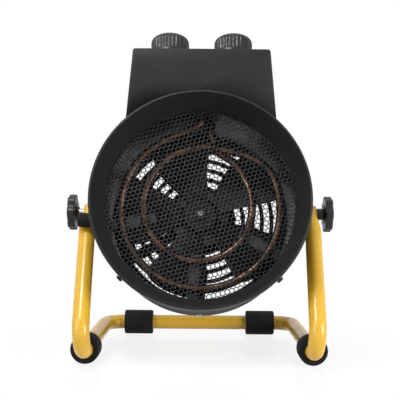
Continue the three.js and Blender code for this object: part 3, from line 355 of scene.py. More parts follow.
def makePiece(name, shape, space, node, material=None, sharp=38, bevel=None, replace=True):
    mesh = bpy.data.meshes.new(name)
    points, faces = shape
    mesh.from_pydata([tuple(space @ Vector(p)) for p in points], [], faces)
    work = bmesh.new()
    work.from_mesh(mesh)
    bmesh.ops.remove_doubles(work, verts=work.verts, dist=1e-6)
    bmesh.ops.recalc_face_normals(work, faces=work.faces)
    work.to_mesh(mesh)
    work.free()
    mesh.materials.append(materials[material or slotMaterials[slotOfNode[node]]])
    mesh.shade_smooth()
    mesh.set_sharp_from_angle(angle=math.radians(sharp))
    piece = bpy.data.objects.new(name, mesh)
    bpy.context.scene.collection.objects.link(piece)
    if bevel:
        edge = piece.modifiers.new("edges", "BEVEL")
        edge.width, edge.segments, edge.limit_method = bevel / 1000, 2, "ANGLE"
        edge.angle_limit = math.radians(40)
        edge.harden_normals = True
    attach(piece, bodyOfNode[node])
    if replace:
        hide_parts(node)
    return piece


# Stand: one bent tube, its two ends pressed flat and drilled for the pivot bolts

stand = {
    "tube": 16.0, "runHeight": 13.75, "runX": 107.0, "runLength": 200.0, "frontBend": 18.0, "rearBend": 21.0,
    "tabX": 111.6, "tabThickness": 10.0, "tabWidth": 18.0, "pressed": 16.0, "sides": 40,
    "rubber": 27.5, "footBehind": 29.5, "footLength": 22.0, "sleeveX": 70.0, "sleeveLength": 32.4,
    "bush": 13.8, "bushLength": 14.5, "bushDrop": 20.1, "bushSunk": 2.0,
}


def bentPath(corners, arcSteps):
    path = []
    for i, (at, radius) in enumerate(corners):
        if not radius or i in (0, len(corners) - 1):
            path.append(at.copy())
            continue
        before = (at - corners[i - 1][0]).normalized()
        after = (corners[i + 1][0] - at).normalized()
        turn = before.angle(after)
        start = at - before * radius * math.tan(turn / 2)
        inward = (after - before * before.dot(after)).normalized()
        centre = start + inward * radius
        for k in range(arcSteps + 1):
            angle = turn * k / arcSteps
            path.append(centre - inward * radius * math.cos(angle) + before * radius * math.sin(angle))
    return path


def frontCorner(top):
    corner = frontBend
    for _ in range(30):
        lean = math.atan2(top.z - stand["runHeight"], top.y - corner)
        corner = frontBend + stand["frontBend"] * (1 - math.tan((math.pi - lean) / 2))
    return corner


def makeStand():
    centre = pivot * 1000
    cornerY = frontCorner(centre)
    up = (centre - Vector((0, cornerY, stand["runHeight"]))).normalized()
    across = Vector((0, -up.z, up.y))
    tip = stand["tabWidth"] / 2
    begin = -tip - stand["pressed"]
    steps = [begin + stand["pressed"] * k / 8 for k in range(9)]
    steps += [tip * part for part in (-0.5, 0, 0.28, 0.5, 0.68, 0.82, 0.91, 0.97, 0.995)]
    rear = frontBend + stand["runLength"]

    def side(sign):
        top = [(Vector((sign * stand["tabX"], centre.y, centre.z)) + up * s, 0) for s in reversed(steps)]
        return top + [
            (Vector((sign * stand["runX"], cornerY, stand["runHeight"])), stand["frontBend"]),
            (Vector((sign * stand["runX"], rear, stand["runHeight"])), stand["rearBend"]),
        ]

    def pressedFlat(point):
        sign = math.copysign(1, point.x)
        offset = point - Vector((sign * stand["tabX"], centre.y, centre.z))
        along, wide = offset.dot(up), offset.dot(across)
        t = min(max((along - begin) / stand["pressed"], 0), 1)
        flat = 1 - math.sin(math.pi / 2 * (1 - t))
        if flat <= 0 or abs(wide) > stand["tube"]:
            return point
        radius = stand["tube"] / 2
        half = math.sqrt(max(tip * tip - along * along, 0.01)) if along > 0 else tip
        thin = max(min(offset.x / radius, 1), -1)
        bulge = math.copysign(abs(thin) ** (1 - 0.62 * flat), thin) * radius
        x = bulge * (1 + flat * (stand["tabThickness"] / stand["tube"] - 1)) * (half / tip) ** 0.5
        y = wide * (1 + flat * (half / radius - 1))
        return Vector((sign * stand["tabX"] + x, centre.y, centre.z)) + up * along + across * y

    path = bentPath(side(-1) + list(reversed(side(1))), 18)
    # Straight runs get a few extra rings, so that the highlight stays even
    dense = []
    for a, b in zip(path, path[1:]):
        parts = max(1, int((b - a).length / 25))
        dense.extend(a.lerp(b, k / parts) for k in range(parts))
    dense.append(path[-1])
    tube = sweptTube(dense, stand["tube"] / 2, stand["sides"], pressedFlat)
    makePiece("bentTube", tube, millimetres, "stand_tube", sharp=50)
    inner = stand["tube"] / 2 + 0.15
    outer = stand["rubber"] / 2

    def ring(length):
        half = length / 2
        loop = [(inner, -half), (outer, -half), (outer, -0.5), (outer + 0.14, 0), (outer, 0.5), (outer, half),
                (inner, half)]
        return turned(softened(loop, [0.3, 1.8, 0, 0, 0, 1.8, 0.3], 5, closed=True), 64, closed=True)

    sideways = Matrix.Rotation(math.pi / 2, 4, "Z")
    for name, sign in (("left", -1), ("right", 1)):
        spot = Matrix.Translation((sign * stand["runX"], frontBend + stand["footBehind"], stand["runHeight"]))
        makePiece(f"rubberFoot.{name}", moved(ring(stand["footLength"]), spot), millimetres,
                  f"front_foot_{name}")
        spot = Matrix.Translation((sign * stand["sleeveX"], rear, stand["runHeight"])) @ sideways
        makePiece(f"rubberSleeve.{name}", moved(ring(stand["sleeveLength"]), spot), millimetres,
                  f"rear_sleeve_{name}")
    radius, half = stand["bush"] / 2, stand["bushLength"] / 2
    seat = centre - up * stand["bushDrop"] + across * (tip + 0.3 + radius - stand["bushSunk"])
    bush = softened([(0, -half), (radius, -half), (radius, half), (0, half)], [0, 1.0, 1.0, 0], 4)
    spot = Matrix.Translation((-stand["tabX"], seat.y, seat.z)) @ sideways
    makePiece("legBush", moved(turned(bush, 48), spot), millimetres, "leg_bush_left")


makeStand()
print("stand bent")


# Screws: pan heads with a cross recess, given as head radius and height, then shank radius and length

screwLook = {"segments": 24, "recessWide": 0.32, "recessLong": 1.25, "recessDeep": 0.9}


def screwMesh(headRadius, headHeight, shankRadius, shankLength):
    profile = softened([(0, headHeight), (headRadius * 0.7, headHeight), (headRadius, headHeight * 0.35),
                        (headRadius, 0), (shankRadius, 0), (shankRadius, -shankLength), (0, -shankLength)],
                       [0, headRadius * 0.3, 0.4, 0, 0, 0.3, 0], 4)
    body = bpy.data.meshes.new("screw")
    points, faces = turned(profile, screwLook["segments"])
    body.from_pydata(points, [], faces)
    cutter = bmesh.new()
    long, wide = headRadius * screwLook["recessLong"] / 2, headRadius * screwLook["recessWide"] / 2
    for sizeX, sizeZ in ((long, wide), (wide, long)):
        made = bmesh.ops.create_cube(cutter, size=1.0)["verts"]
        for vertex in made:
            x, y, z = vertex.co
            vertex.co = (x * 2 * sizeX, y * screwLook["recessDeep"] * 2 + headHeight, z * 2 * sizeZ)
    cutterMesh = bpy.data.meshes.new("recess")
    cutter.to_mesh(cutterMesh)
    cutter.free()
    holder = bpy.data.objects.new("screwHolder", body)
    tool = bpy.data.objects.new("recessTool", cutterMesh)
    for item in (holder, tool):
        bpy.context.scene.collection.objects.link(item)
    work = bmesh.new()
    work.from_mesh(body)
    bmesh.ops.recalc_face_normals(work, faces=work.faces)
    work.to_mesh(body)
    work.free()
    recess = holder.modifiers.new("recess", "BOOLEAN")
    recess.operation, recess.object, recess.solver = "DIFFERENCE", tool, "EXACT"
    recess.use_self = True
    depsgraph = bpy.context.evaluated_depsgraph_get()
    result = bpy.data.meshes.new_from_object(holder.evaluated_get(depsgraph))
    points = [tuple(v.co) for v in result.vertices]
    faces = [tuple(p.vertices) for p in result.polygons]
    bpy.data.objects.remove(holder)
    bpy.data.objects.remove(tool)
    return points, faces


def placeScrew(shape, at, direction, name, node, material=None):
    turn = Vector((0, 1, 0)).rotation_difference(direction).to_matrix().to_4x4()
    makePiece(name, moved(shape, Matrix.Translation(at) @ turn), drumSpace, node, material)


# Front ring: spun sheet, rolled over at its rim, with a funnel that guides the air out

ring = {
    "radius": 103.2, "roll": 2.3, "wall": 1.2, "skirtDepth": 19.5, "coneDepth": 28.2, "coneRadius": 91.3,
    "flange": 3.3, "segments": 160, "screwDepth": 16.0, "screw": (3.45, 2.4, 1.75, 5.0),
}


def makeRing():
    crest = ring["radius"] - ring["roll"]
    roll = [(crest + ring["roll"] * math.cos(math.radians(a)), ring["roll"] * (1 - math.sin(math.radians(a))))
            for a in range(0, 100, 10)]
    slope = (crest - ring["coneRadius"]) / ring["coneDepth"]
    thick = ring["wall"] * math.hypot(1, slope)
    front = ring["coneDepth"] - ring["wall"]

    def coneBack(depth):
        return crest - slope * depth + thick

    inside = ring["radius"] - ring["wall"]
    # The foot of the funnel bends in slightly, where the sheet was pressed
    cone = [(crest - 0.25, 0.35), (crest - slope * 3, 3.0),
            (ring["coneRadius"] + slope * 2.4, ring["coneDepth"] - 2.4),
            (ring["coneRadius"] + 0.1, ring["coneDepth"] - 0.8), (ring["coneRadius"], ring["coneDepth"])]
    loop = ([(ring["radius"], ring["skirtDepth"])] + roll + cone
            + [(ring["coneRadius"] + ring["flange"], ring["coneDepth"]),
               (ring["coneRadius"] + ring["flange"], front), (coneBack(front), front),
               (coneBack(ring["roll"]), ring["roll"]), (inside, ring["roll"] + ring["wall"]),
               (inside, ring["skirtDepth"])])
    makePiece("funnelRing", turned(loop, ring["segments"], closed=True), drumSpace, "front_ring", sharp=45)
    shape = screwMesh(*ring["screw"])
    for i, angle in enumerate((45, 135, 225, 315)):
        direction = Vector((math.sin(math.radians(angle)), 0, math.cos(math.radians(angle))))
        at = direction * (ring["radius"] + 0.2) + Vector((0, ring["screwDepth"], 0))
        placeScrew(shape, at, direction, f"ringScrew.{i + 1}", f"ring_screw_{i + 1}", "blackPowderCoat")


makeRing()
print("front ring spun")


# Guard: welded honeycomb wire, one cell 4.4 mm across the flats, set at a slant

guard = {
    "cell": 4.4, "wire": 0.9, "slant": 15.6, "depth": 29.0, "reach": 93.0, "rimInner": 91.6, "rimOuter": 94.2,
    "rimThick": 1.0,
}


def makeGuard():
    corners, points, faces = {}, [], []
    pitch = guard["cell"]
    radius = pitch / math.sqrt(3)
    slant = math.radians(guard["slant"])
    reach = int(2.4 * guard["reach"] / pitch)
    for row in range(-reach, reach + 1):
        for column in range(-reach, reach + 1):
            x, z = pitch * (column + row / 2), pitch * row * math.sqrt(3) / 2
            if math.hypot(x, z) > guard["reach"] - 1.0:
                continue
            face = []
            for k in range(6):
                angle = math.radians(30 + 60 * k)
                cx, cz = x + radius * math.cos(angle), z + radius * math.sin(angle)
                key = (round(cx * 50), round(cz * 50))
                if key not in corners:
                    corners[key] = len(points)
                    points.append((cx * math.cos(slant) - cz * math.sin(slant), guard["depth"],
                                   cx * math.sin(slant) + cz * math.cos(slant)))
                face.append(corners[key])
            faces.append(tuple(face))
    net = makePiece("honeycombNet", (points, faces), drumSpace, "guard_net", "guardWire", sharp=180)
    wire = net.modifiers.new("wire", "WIREFRAME")
    wire.thickness, wire.use_even_offset, wire.use_boundary = guard["wire"] / 1000, True, True
    near, far = guard["depth"] - guard["rimThick"] / 2, guard["depth"] + guard["rimThick"] / 2
    rim = softened([(guard["rimInner"], near), (guard["rimOuter"], near), (guard["rimOuter"], far),
                    (guard["rimInner"], far)], 0.4, 3, closed=True)
    makePiece("netRim", turned(rim, 160, closed=True), drumSpace, "guard_net", "galvanisedSheet",
              replace=False)


makeGuard()
print("guard laid")


# Drum: rolled sheet with a folded hem at the back

shell = {
    "radius": 98.6, "wall": 1.0, "front": 15.5, "back": 118.0, "segments": 160,
    "screwDepth": 113.5, "screw": (3.4, 1.9, 1.75, 5.0),
}


def makeDrum():
    outer, inner = shell["radius"], shell["radius"] - shell["wall"]
    back = shell["back"]
    hem = [(outer, back - 5), (outer + 0.5, back - 4), (outer + 0.7, back - 2), (outer + 0.5, back - 0.6),
           (outer, back), (inner - 0.2, back)]
    loop = [(inner, shell["front"]), (outer, shell["front"])] + hem
    loop += [(inner - 0.2, back - 1), (inner, back - 3)]
    makePiece("rolledDrum", turned(loop, shell["segments"], closed=True), drumSpace, "drum_casing", sharp=45)
    shape = screwMesh(*shell["screw"])
    for i, angle in enumerate((60, 180, 300)):
        direction = Vector((math.sin(math.radians(angle)), 0, math.cos(math.radians(angle))))
        at = direction * (outer + 0.2) + Vector((0, shell["screwDepth"], 0))
        placeScrew(shape, at, direction, f"drumScrew.{i + 1}", f"grille_screw_{i + 1}")


makeDrum()
print("drum rolled")


# Rear grille: pressed sheet with five rings of slots between six spokes, and a cup for the motor

grille = {
    "depth": 110.0, "wall": 1.2, "outer": 97.3, "flange": 7.0, "firstSlot": 40.0, "slotPitch": 10.0,
    "slotWidth": 5.7, "spokeWidth": 11.5, "cup": 34.0, "cupDepth": 13.0, "cupDraft": 2.5, "columns": 12,
    "rings": 5, "spokes": 6, "edge": 2.2, "lap": 2.6,
    "motorScrewX": 20.0, "motorScrew": (3.0, 1.8, 1.5, 3.0),
}


def makeGrille():
    radii = [grille["cup"]]
    spokePitch = 2 * math.pi / grille["spokes"]
    for k in range(grille["rings"]):
        middle = grille["firstSlot"] + k * grille["slotPitch"]
        radii += [middle - grille["slotWidth"] / 2, middle + grille["slotWidth"] / 2]
    radii.append(grille["outer"] - grille["edge"])
    columns = []
    for spoke in range(grille["spokes"]):
        start, end = spokePitch * spoke, spokePitch * (spoke + 1)
        columns.append((start, 0, True))
        columns += [(start, k / grille["columns"], False) for k in range(grille["columns"])]
        columns.append((end, -1, True))

    def corner(radius, column):
        start, part, onSpoke = column
        trim = math.asin(grille["spokeWidth"] / 2 / radius)
        if onSpoke:
            return start if part == 0 else start - trim
        return start + trim + part * (spokePitch - 2 * trim)

    front, back = grille["depth"], grille["depth"] + grille["wall"]
    points, faces = [], []
    count = len(columns)
    for depth in (front, back):
        for radius in radii:
            for column in columns:
                angle = corner(radius, column)
                points.append((radius * math.sin(angle), depth, radius * math.cos(angle)))

    def index(layer, i, k):
        return (layer * len(radii) + i) * count + k % count

    def solid(i, k):
        if i < 0 or i >= len(radii) - 1:
            return False
        return i % 2 == 0 or columns[k % count][2]

    def addEdge(i, k, toI, toK):
        # A strip of the sheet's edge, from one corner of a cell to the next
        faces.append((index(0, i, k), index(1, i, k), index(1, toI, toK), index(0, toI, toK)))

    for i in range(len(radii) - 1):
        for k in range(count):
            if not solid(i, k):
                continue
            faces.append((index(0, i, k), index(0, i, k + 1), index(0, i + 1, k + 1), index(0, i + 1, k)))
            faces.append((index(1, i, k), index(1, i + 1, k), index(1, i + 1, k + 1), index(1, i, k + 1)))
            if 0 < i and not solid(i - 1, k):
                addEdge(i, k, i, k + 1)
            if i < len(radii) - 2 and not solid(i + 1, k):
                addEdge(i + 1, k + 1, i + 1, k)
            if not solid(i, (k - 1) % count):
                addEdge(i + 1, k, i, k)
            if not solid(i, (k + 1) % count):
                addEdge(i, k + 1, i + 1, k + 1)
    makePiece("slottedGrille", (points, faces), drumSpace, "rear_grille", sharp=30, bevel=0.3)
    deep = grille["depth"] + grille["cupDepth"]
    wall = grille["wall"]
    cup = softened([(0, deep), (grille["cup"] - grille["cupDraft"], deep), (grille["cup"], front),
                    (grille["cup"] + 0.6, front), (grille["cup"] + 0.6, back),
                    (grille["cup"] + wall - grille["cupDraft"], deep + wall), (0, deep + wall)],
                   [0, 2.5, 0.2, 0, 0.2, 3.2, 0], 5)
    makePiece("motorCup", turned(cup, 96), drumSpace, "rear_grille", replace=False)
    outer = grille["outer"]
    flange = softened([(outer - grille["lap"], front), (outer, front), (outer, front + grille["flange"]),
                       (outer - wall, front + grille["flange"]), (outer - wall, back),
                       (outer - grille["lap"], back)],
                      [0, 2.0, 0.4, 0.4, 0.8, 0], 4, closed=True)
    makePiece("grilleFlange", turned(flange, 160, closed=True), drumSpace, "rear_grille", replace=False)
    shape = screwMesh(*grille["motorScrew"])
    for i, x in enumerate((-grille["motorScrewX"], grille["motorScrewX"])):
        at = Vector((x, deep + wall + 0.25, 0))
        placeScrew(shape, at, Vector((0, 1, 0)), f"motorScrew.{i + 1}", f"motor_screw_{i + 1}")


makeGrille()
print("grille pressed")


# Heating element: a sheathed tube, browned by heat, one wide turn and one narrower turn

element = {
    "diameter": 8.0, "depth": 54.0, "outer": 78.5, "middle": 63.5, "inner": 50.5, "returnDepth": 66.0,
    "leadSpacing": 10.0, "leadTop": 106.0, "innerFrom": 360, "innerTo": 620,
    "pinFlange": 3.6, "pinFlangeHeight": 2.5, "pin": 1.6, "pinHeight": 12.0,
}


def smoothCurve(places, perSpan):
    # Centripetal Catmull-Rom, which passes through each place without overshoot
    path = []
    for i in range(len(places) - 1):
        p1, p2 = places[i], places[i + 1]
        p0 = places[i - 1] if i else p1 * 2 - p2
        p3 = places[i + 2] if i + 2 < len(places) else p2 * 2 - p1
        d01, d12, d23 = ((b - a).length ** 0.5 for a, b in ((p0, p1), (p1, p2), (p2, p3)))
        t1 = ((p1 - p0) / d01 - (p2 - p0) / (d01 + d12) + (p2 - p1) / d12) * d12
        t2 = ((p2 - p1) / d12 - (p3 - p1) / (d12 + d23) + (p3 - p2) / d23) * d12
        for k in range(perSpan):
            t = k / perSpan
            path.append(p1 * (2 * t ** 3 - 3 * t ** 2 + 1) + t1 * (t ** 3 - 2 * t ** 2 + t)
                        + p2 * (3 * t ** 2 - 2 * t ** 3) + t2 * (t ** 3 - t ** 2))
    path.append(places[-1].copy())
    return path


def makeElement():
    depth, outer, middle, inner = element["depth"], element["outer"], element["middle"], element["inner"]
    back, spacing, top = element["returnDepth"], element["leadSpacing"], element["leadTop"]

    def polar(angle, radius, at):
        return Vector((-radius * math.sin(math.radians(angle)), at, radius * math.cos(math.radians(angle))))

    places = [Vector((0, depth, top)), Vector((0, depth, top - 10)), Vector((-0.6, depth, outer + 9)),
              polar(8.5, outer + 2.6, depth)]
    places += [polar(angle, outer, depth) for angle in range(25, 301, 25)]
    places += [polar(320, outer - (outer - middle) * 0.5, depth), polar(340, middle + 1, depth)]
    begin, finish = element["innerFrom"], element["innerTo"]
    for angle in range(begin, finish + 1, 26):
        left = (finish - angle) / (finish - begin)
        places.append(polar(angle, inner + (middle - inner) * left ** 2, depth))
    half = (depth + back) / 2
    places += [polar(642, inner + 1, half - 2), polar(664, inner + 4.5, back - 0.5),
               polar(686, middle - 3, back), polar(704, middle + 1, back)]
    places += [Vector((spacing + 0.8, back, outer + 1)), Vector((spacing, back, outer + 11)),
               Vector((spacing, back, top - 10)), Vector((spacing, back, top))]
    tube = sweptTube(smoothCurve(places, 8), element["diameter"] / 2, 24)
    makePiece("sheathedElement", tube, drumSpace, "heating_element", sharp=60)
    for i, (x, at) in enumerate(((0, depth), (spacing, back))):
        base = top + 0.3
        shoulder, tip = base + element["pinFlangeHeight"], base + element["pinHeight"]
        profile = softened([(0, base), (element["pinFlange"], base), (element["pinFlange"], shoulder),
                            (element["pin"], shoulder), (element["pin"], tip), (0, tip)],
                           [0, 0.4, 0.4, 0, 0.4, 0], 3)
        spot = Matrix.Translation((x, at, 0)) @ Matrix.Rotation(math.pi / 2, 4, "X")
        pin = moved(turned(profile, 32), spot)
        makePiece(f"elementPin.{i + 1}", pin, drumSpace, f"element_terminal_{i + 1}")


makeElement()
print("element wound")


# Fan: five pressed blades on a domed hub, held by a nut

fan = {
    "radius": 84.0, "depth": 80.0, "hub": 18.3, "hubLength": 11.0, "blades": 5, "spread": 50.0, "first": 34.0,
    "pitch": 20.0, "wall": 1.2, "cornerCut": 5.0, "camber": 1.6, "bore": 2.8,
}


def makeFan():
    points, faces = [], []
    across, out = 14, 16
    middle = fan["depth"] + fan["hubLength"] / 2 + 0.5
    for blade in range(fan["blades"]):
        centre = math.radians(fan["first"] + 360 / fan["blades"] * blade)
        offset = len(points)
        for j in range(out + 1):
            t = j / out
            for k in range(across + 1):
                s = 2 * k / across - 1
                # The corners are rounded off, and the leading edge sweeps forward
                radius = fan["hub"] - 1 + (fan["radius"] - fan["hub"] + 1) * t
                radius -= (abs(s) ** 5) * fan["cornerCut"] * t ** 3
                spread = math.radians(fan["spread"] / 2) * (1 - 0.1 * t ** 6)
                angle = s * spread + math.radians(3) * math.sin(math.pi * t) * (1 if s > 0 else 0.4)
                reach = radius * math.sin(angle)
                twist = math.tan(math.radians(fan["pitch"])) * (1.35 - 0.45 * t)
                depth = middle + reach * twist + fan["camber"] * (1 - s * s) * (0.3 + 0.7 * t)
                a = centre + angle
                points.append((radius * math.cos(a), depth, radius * math.sin(a)))
        for j in range(out):
            for k in range(across):
                a = offset + j * (across + 1) + k
                faces.append((a, a + 1, a + across + 2, a + across + 1))
    blades = makePiece("fanBlades", (points, faces), drumSpace, "fan_wheel")
    sheet = blades.modifiers.new("sheet", "SOLIDIFY")
    sheet.thickness, sheet.offset = fan["wall"] / 1000, 0
    hub, front, back = fan["hub"], fan["depth"], fan["depth"] + fan["hubLength"]
    profile = softened([(fan["bore"], front), (6.5, front), (7.5, front + 0.9), (hub - 3, front + 0.4),
                        (hub, front + 3.2), (hub, back), (hub - 1.6, back), (hub - 1.6, front + 4.2),
                        (7, front + 3.4), (7, back + 1), (fan["bore"], back + 1)],
                       [0, 0.3, 0.6, 2.4, 2.6, 0.4, 0.4, 2, 0.5, 0.4, 0], 4, closed=True)
    makePiece("fanHub", turned(profile, 72, closed=True), drumSpace, "fan_wheel", replace=False)


makeFan()
print("fan pressed")


# Control box: one folded wrapper that turns in behind, and a flat cover screwed over it

box = {
    "top": 152.4, "width": 133.7, "flare": 0.075, "front": 19.8, "depth": 89.9, "wall": 1.2, "corner": 3.0,
    "saddle": 98.9, "flange": 9.0, "screwDrop": 36.0, "screw": (3.4, 1.9, 1.75, 5.0), "arcSteps": 36,
    "glandX": 44.0, "glandHeight": 122.0, "glandBore": 4.0, "glandBarrel": 8.0, "glandCap": 11.0,
    "glandGrips": 18,
}


def boxHalf(z, inset=0.0):
    return box["width"] / 2 + (box["top"] - z) * box["flare"] - inset


def boxOutline(inset, corner, saddle):
    # From the left foot over the top to the right foot, then back along the drum
    low, high = 0.0, box["top"] - inset
    for _ in range(40):
        middle = (low + high) / 2
        if math.hypot(boxHalf(middle, inset), middle) > saddle:
            high = middle
        else:
            low = middle
    foot = high
    top = box["top"] - inset
    left = [(-boxHalf(foot, inset), foot), (-boxHalf(top, inset), top), (boxHalf(top, inset), top),
            (boxHalf(foot, inset), foot)]
    over = softened(left, [0, corner, corner, 0], 7)
    start = math.atan2(boxHalf(foot, inset), foot)
    turns = [start * (1 - 2 * k / box["arcSteps"]) for k in range(1, box["arcSteps"])]
    arc = [(saddle * math.sin(turn), saddle * math.cos(turn)) for turn in turns]
    return over, arc


def makeBox():
    front, back = box["front"], box["front"] + box["depth"]
    over, arc = boxOutline(0, box["corner"], box["saddle"])
    points = [(x, front, z) for x, z in over + arc] + [(x, back, z) for x, z in over]
    count = len(over)
    faces = [tuple(range(count + len(arc)))]
    total = count + len(arc)
    faces += [(i, i + 1, total + i + 1, total + i) for i in range(count - 1)]
    # The wrapper turns in at the back as a flange for the cover
    inner, _ = boxOutline(box["flange"], 1.0, box["saddle"])
    offset = len(points)
    points += [(x, back, z) for x, z in inner]
    faces += [(total + i, total + i + 1, offset + i + 1, offset + i) for i in range(count - 1)]
    wrap = makePiece("foldedBox", (points, faces), drumSpace, "box_shell", sharp=50)
    fold = wrap.modifiers.new("fold", "BEVEL")
    fold.width, fold.segments, fold.limit_method, fold.angle_limit = 0.0014, 4, "ANGLE", math.radians(50)
    sheet = wrap.modifiers.new("sheet", "SOLIDIFY")
    sheet.thickness, sheet.offset = box["wall"] / 1000, -1
    plateFront = back + 0.3
    over, arc = boxOutline(0.4, box["corner"], box["saddle"])
    layers = [(x, y, z) for y in (plateFront, plateFront + box["wall"]) for x, z in over + arc]
    total = len(over) + len(arc)
    faces = [tuple(range(total)), tuple(reversed(range(total, 2 * total)))]
    faces += [(i, (i + 1) % total, total + (i + 1) % total, total + i) for i in range(total)]
    makePiece("boxCover", (layers, faces), drumSpace, "box_rear_cover", sharp=30, bevel=0.5)
    shape = screwMesh(*box["screw"])
    z = box["top"] - box["screwDrop"]
    x = boxHalf(z) - box["flange"] / 2 - 0.6
    for i, sign in enumerate((-1, 1)):
        at = Vector((sign * x, plateFront + box["wall"] + 0.2, z))
        placeScrew(shape, at, Vector((0, 1, 0)), f"coverScrew.{i + 1}", f"cover_screw_{i + 1}")
    bore, barrel, cap = box["glandBore"], box["glandBarrel"], box["glandCap"]
    nut = softened([(bore, plateFront - 8), (barrel, plateFront - 8), (barrel, plateFront + 1.5),
                    (cap, plateFront + 1.5), (cap, plateFront + 4.2), (cap - 1.6, plateFront + 4.6),
                    (barrel - 0.6, plateFront + 10.5), (bore, plateFront + 10.5)],
                   [0.2, 0.6, 0, 0.8, 0.6, 0.5, 1.6, 0.4], 4, closed=True)

    def grip(radius, along, angle):
        return 0.35 * math.cos(angle * box["glandGrips"]) if barrel + 0.5 < radius < cap - 0.1 else 0.0

    spot = Matrix.Translation((box["glandX"], 0, box["glandHeight"]))
    makePiece("cordGland", moved(turned(nut, 108, closed=True, wave=grip), spot), drumSpace, "cord_gland")


makeBox()
print("box folded")


# Control knobs: moulded, with fine flutes round the side and a pointer inlaid in the top

knob = {
    "radius": 19.4, "top": 18.6, "height": 20.3, "base": 153.2, "flutes": 30, "flute": 0.45, "x": 31.6,
    "depth": 44.8, "pointer": (1.5, 9.0, 0.7), "pointerSetback": 6.4, "pointerSunk": 0.45,
}


def makeKnobs():
    low, high = knob["base"], knob["base"] + knob["height"]
    top, foot = knob["top"], knob["radius"]
    profile = softened([(0, high - 0.5), (top - 6.0, high - 0.4), (top - 4.6, high), (top, high - 3.2),
                        (top + 0.5, high - 8), (foot - 0.9, low + 4.2), (foot, low + 3.4), (foot, low),
                        (foot - 2.2, low), (top - 3.2, high - 3.7), (0, high - 2.6)],
                       [0, 0.8, 1.2, 3.6, 2.0, 0.6, 0.5, 0.6, 0.4, 1.0, 0], 6)

    def flutes(radius, along, angle):
        if radius < top - 1.2 or along < low + 3.9 or along > high - 1.0:
            return 0.0
        fade = min((along - low - 3.9) / 1.2, 1) * min((high - 1.0 - along) / 2.2, 1)
        ridge = 0.5 - 0.5 * math.cos(angle * knob["flutes"])
        return -knob["flute"] * 2 * fade * ridge ** 2

    upright = Matrix.Rotation(math.pi / 2, 4, "X")
    for name, x in (("switch", -knob["x"]), ("thermostat", knob["x"])):
        spot = Matrix.Translation((x, knob["depth"], 0)) @ upright
        makePiece(f"{name}Knob", moved(turned(profile, knob["flutes"] * 8, wave=flutes), spot), drumSpace,
                  f"{name}_knob", sharp=70)
        bar = bmesh.new()
        made = bmesh.ops.create_cube(bar, size=1.0)["verts"]
        wide, long, thick = knob["pointer"]
        for vertex in made:
            vertex.co = Vector((vertex.co.x * wide + x,
                                vertex.co.y * long + knob["depth"] - knob["pointerSetback"],
                                vertex.co.z * thick + high - knob["pointerSunk"]))
        shape = ([tuple(v.co) for v in bar.verts], [tuple(v.index for v in f.verts) for f in bar.faces])
        bar.free()
        makePiece(f"{name}Pointer", shape, drumSpace, f"{name}_knob", "whiteInk", bevel=0.15, replace=False)


makeKnobs()
print("knobs moulded")


# Clamp knobs at the pivot: star grips on a stub, over the end of each bolt

clamp = {
    "radius": 18.0, "thick": 9.0, "lobes": 7, "lobe": 2.8, "stub": 5.75, "stubLength": 5.9, "seat": 116.9,
    "dish": 9.0, "studBare": 1.6, "bolt": 3.6, "boltFrom": 94.7, "bore": 4.5, "boss": 13.0, "bossFrom": 98.9,
    "bossTo": 104.5, "washer": 8.5, "washerFrom": 104.8, "washerTo": 106.3,
}


def makeClamps():
    start = clamp["seat"]
    grip = start + clamp["stubLength"]
    end = grip + clamp["thick"]

    def lobes(radius, along, angle):
        share = max(min((radius - clamp["dish"]) / (clamp["radius"] - clamp["dish"]), 1), 0)
        wave = 0.5 - 0.5 * math.cos(angle * clamp["lobes"])
        return -clamp["lobe"] * share * wave ** 1.6

    def section(kind):
        bore, outer, near, far = clamp["bore"], clamp[kind], clamp[f"{kind}From"], clamp[f"{kind}To"]
        return [(bore, near), (outer, near), (outer, far), (bore, far)]

    for name, sign in (("right", 1), ("left", -1)):
        spot = Matrix.Translation((0, drum["pivotDepth"], 0)) @ Matrix.Rotation(-sign * math.pi / 2, 4, "Z")
        # The left knob is screwed out further on its stud, so that bright thread shows behind its neck
        neck = start if name == "right" else grip - clamp["studBare"]
        profile = softened([(4.4, neck), (clamp["stub"], neck), (clamp["stub"], grip), (8.5, grip),
                            (11.0, grip + 1.1), (clamp["radius"], grip + 1.1), (clamp["radius"], end - 0.4),
                            (12.5, end - 0.4), (10.5, end), (8.6, end), (7.6, end - 1.0), (0, end - 1.0)],
                           [0.2, 0.4, 0.6, 0.5, 0.6, 1.3, 1.8, 0.8, 0.6, 0.5, 0.5, 0], 6)
        star = turned(profile, clamp["lobes"] * 20, wave=lobes)
        makePiece(f"starKnob.{name}", moved(star, spot), drumSpace, f"clamp_knob_{name}", sharp=55)
        inner, tip = clamp["boltFrom"], grip + 5
        bolt = softened([(0, inner), (clamp["bolt"], inner), (clamp["bolt"], tip), (0, tip)],
                        [0, 0.8, 0.8, 0], 4)
        makePiece(f"clampBolt.{name}", moved(turned(bolt, 40), spot), drumSpace, f"clamp_bolt_{name}")
        boss = softened(section("boss"), [0.2, 0.2, 1.2, 0.5], 4, closed=True)
        makePiece(f"pivotBoss.{name}", moved(turned(boss, 64, closed=True), spot), drumSpace,
                  f"pivot_boss_{name}", "blackPowderCoat")
        washer = softened(section("washer"), 0.3, 3, closed=True)
        makePiece(f"pivotWasher.{name}", moved(turned(washer, 56, closed=True), spot), drumSpace,
                  f"friction_washer_{name}")


makeClamps()
print("clamps moulded")


# Studio: a pale floor that fades into a white background, and soft lamps round the heater

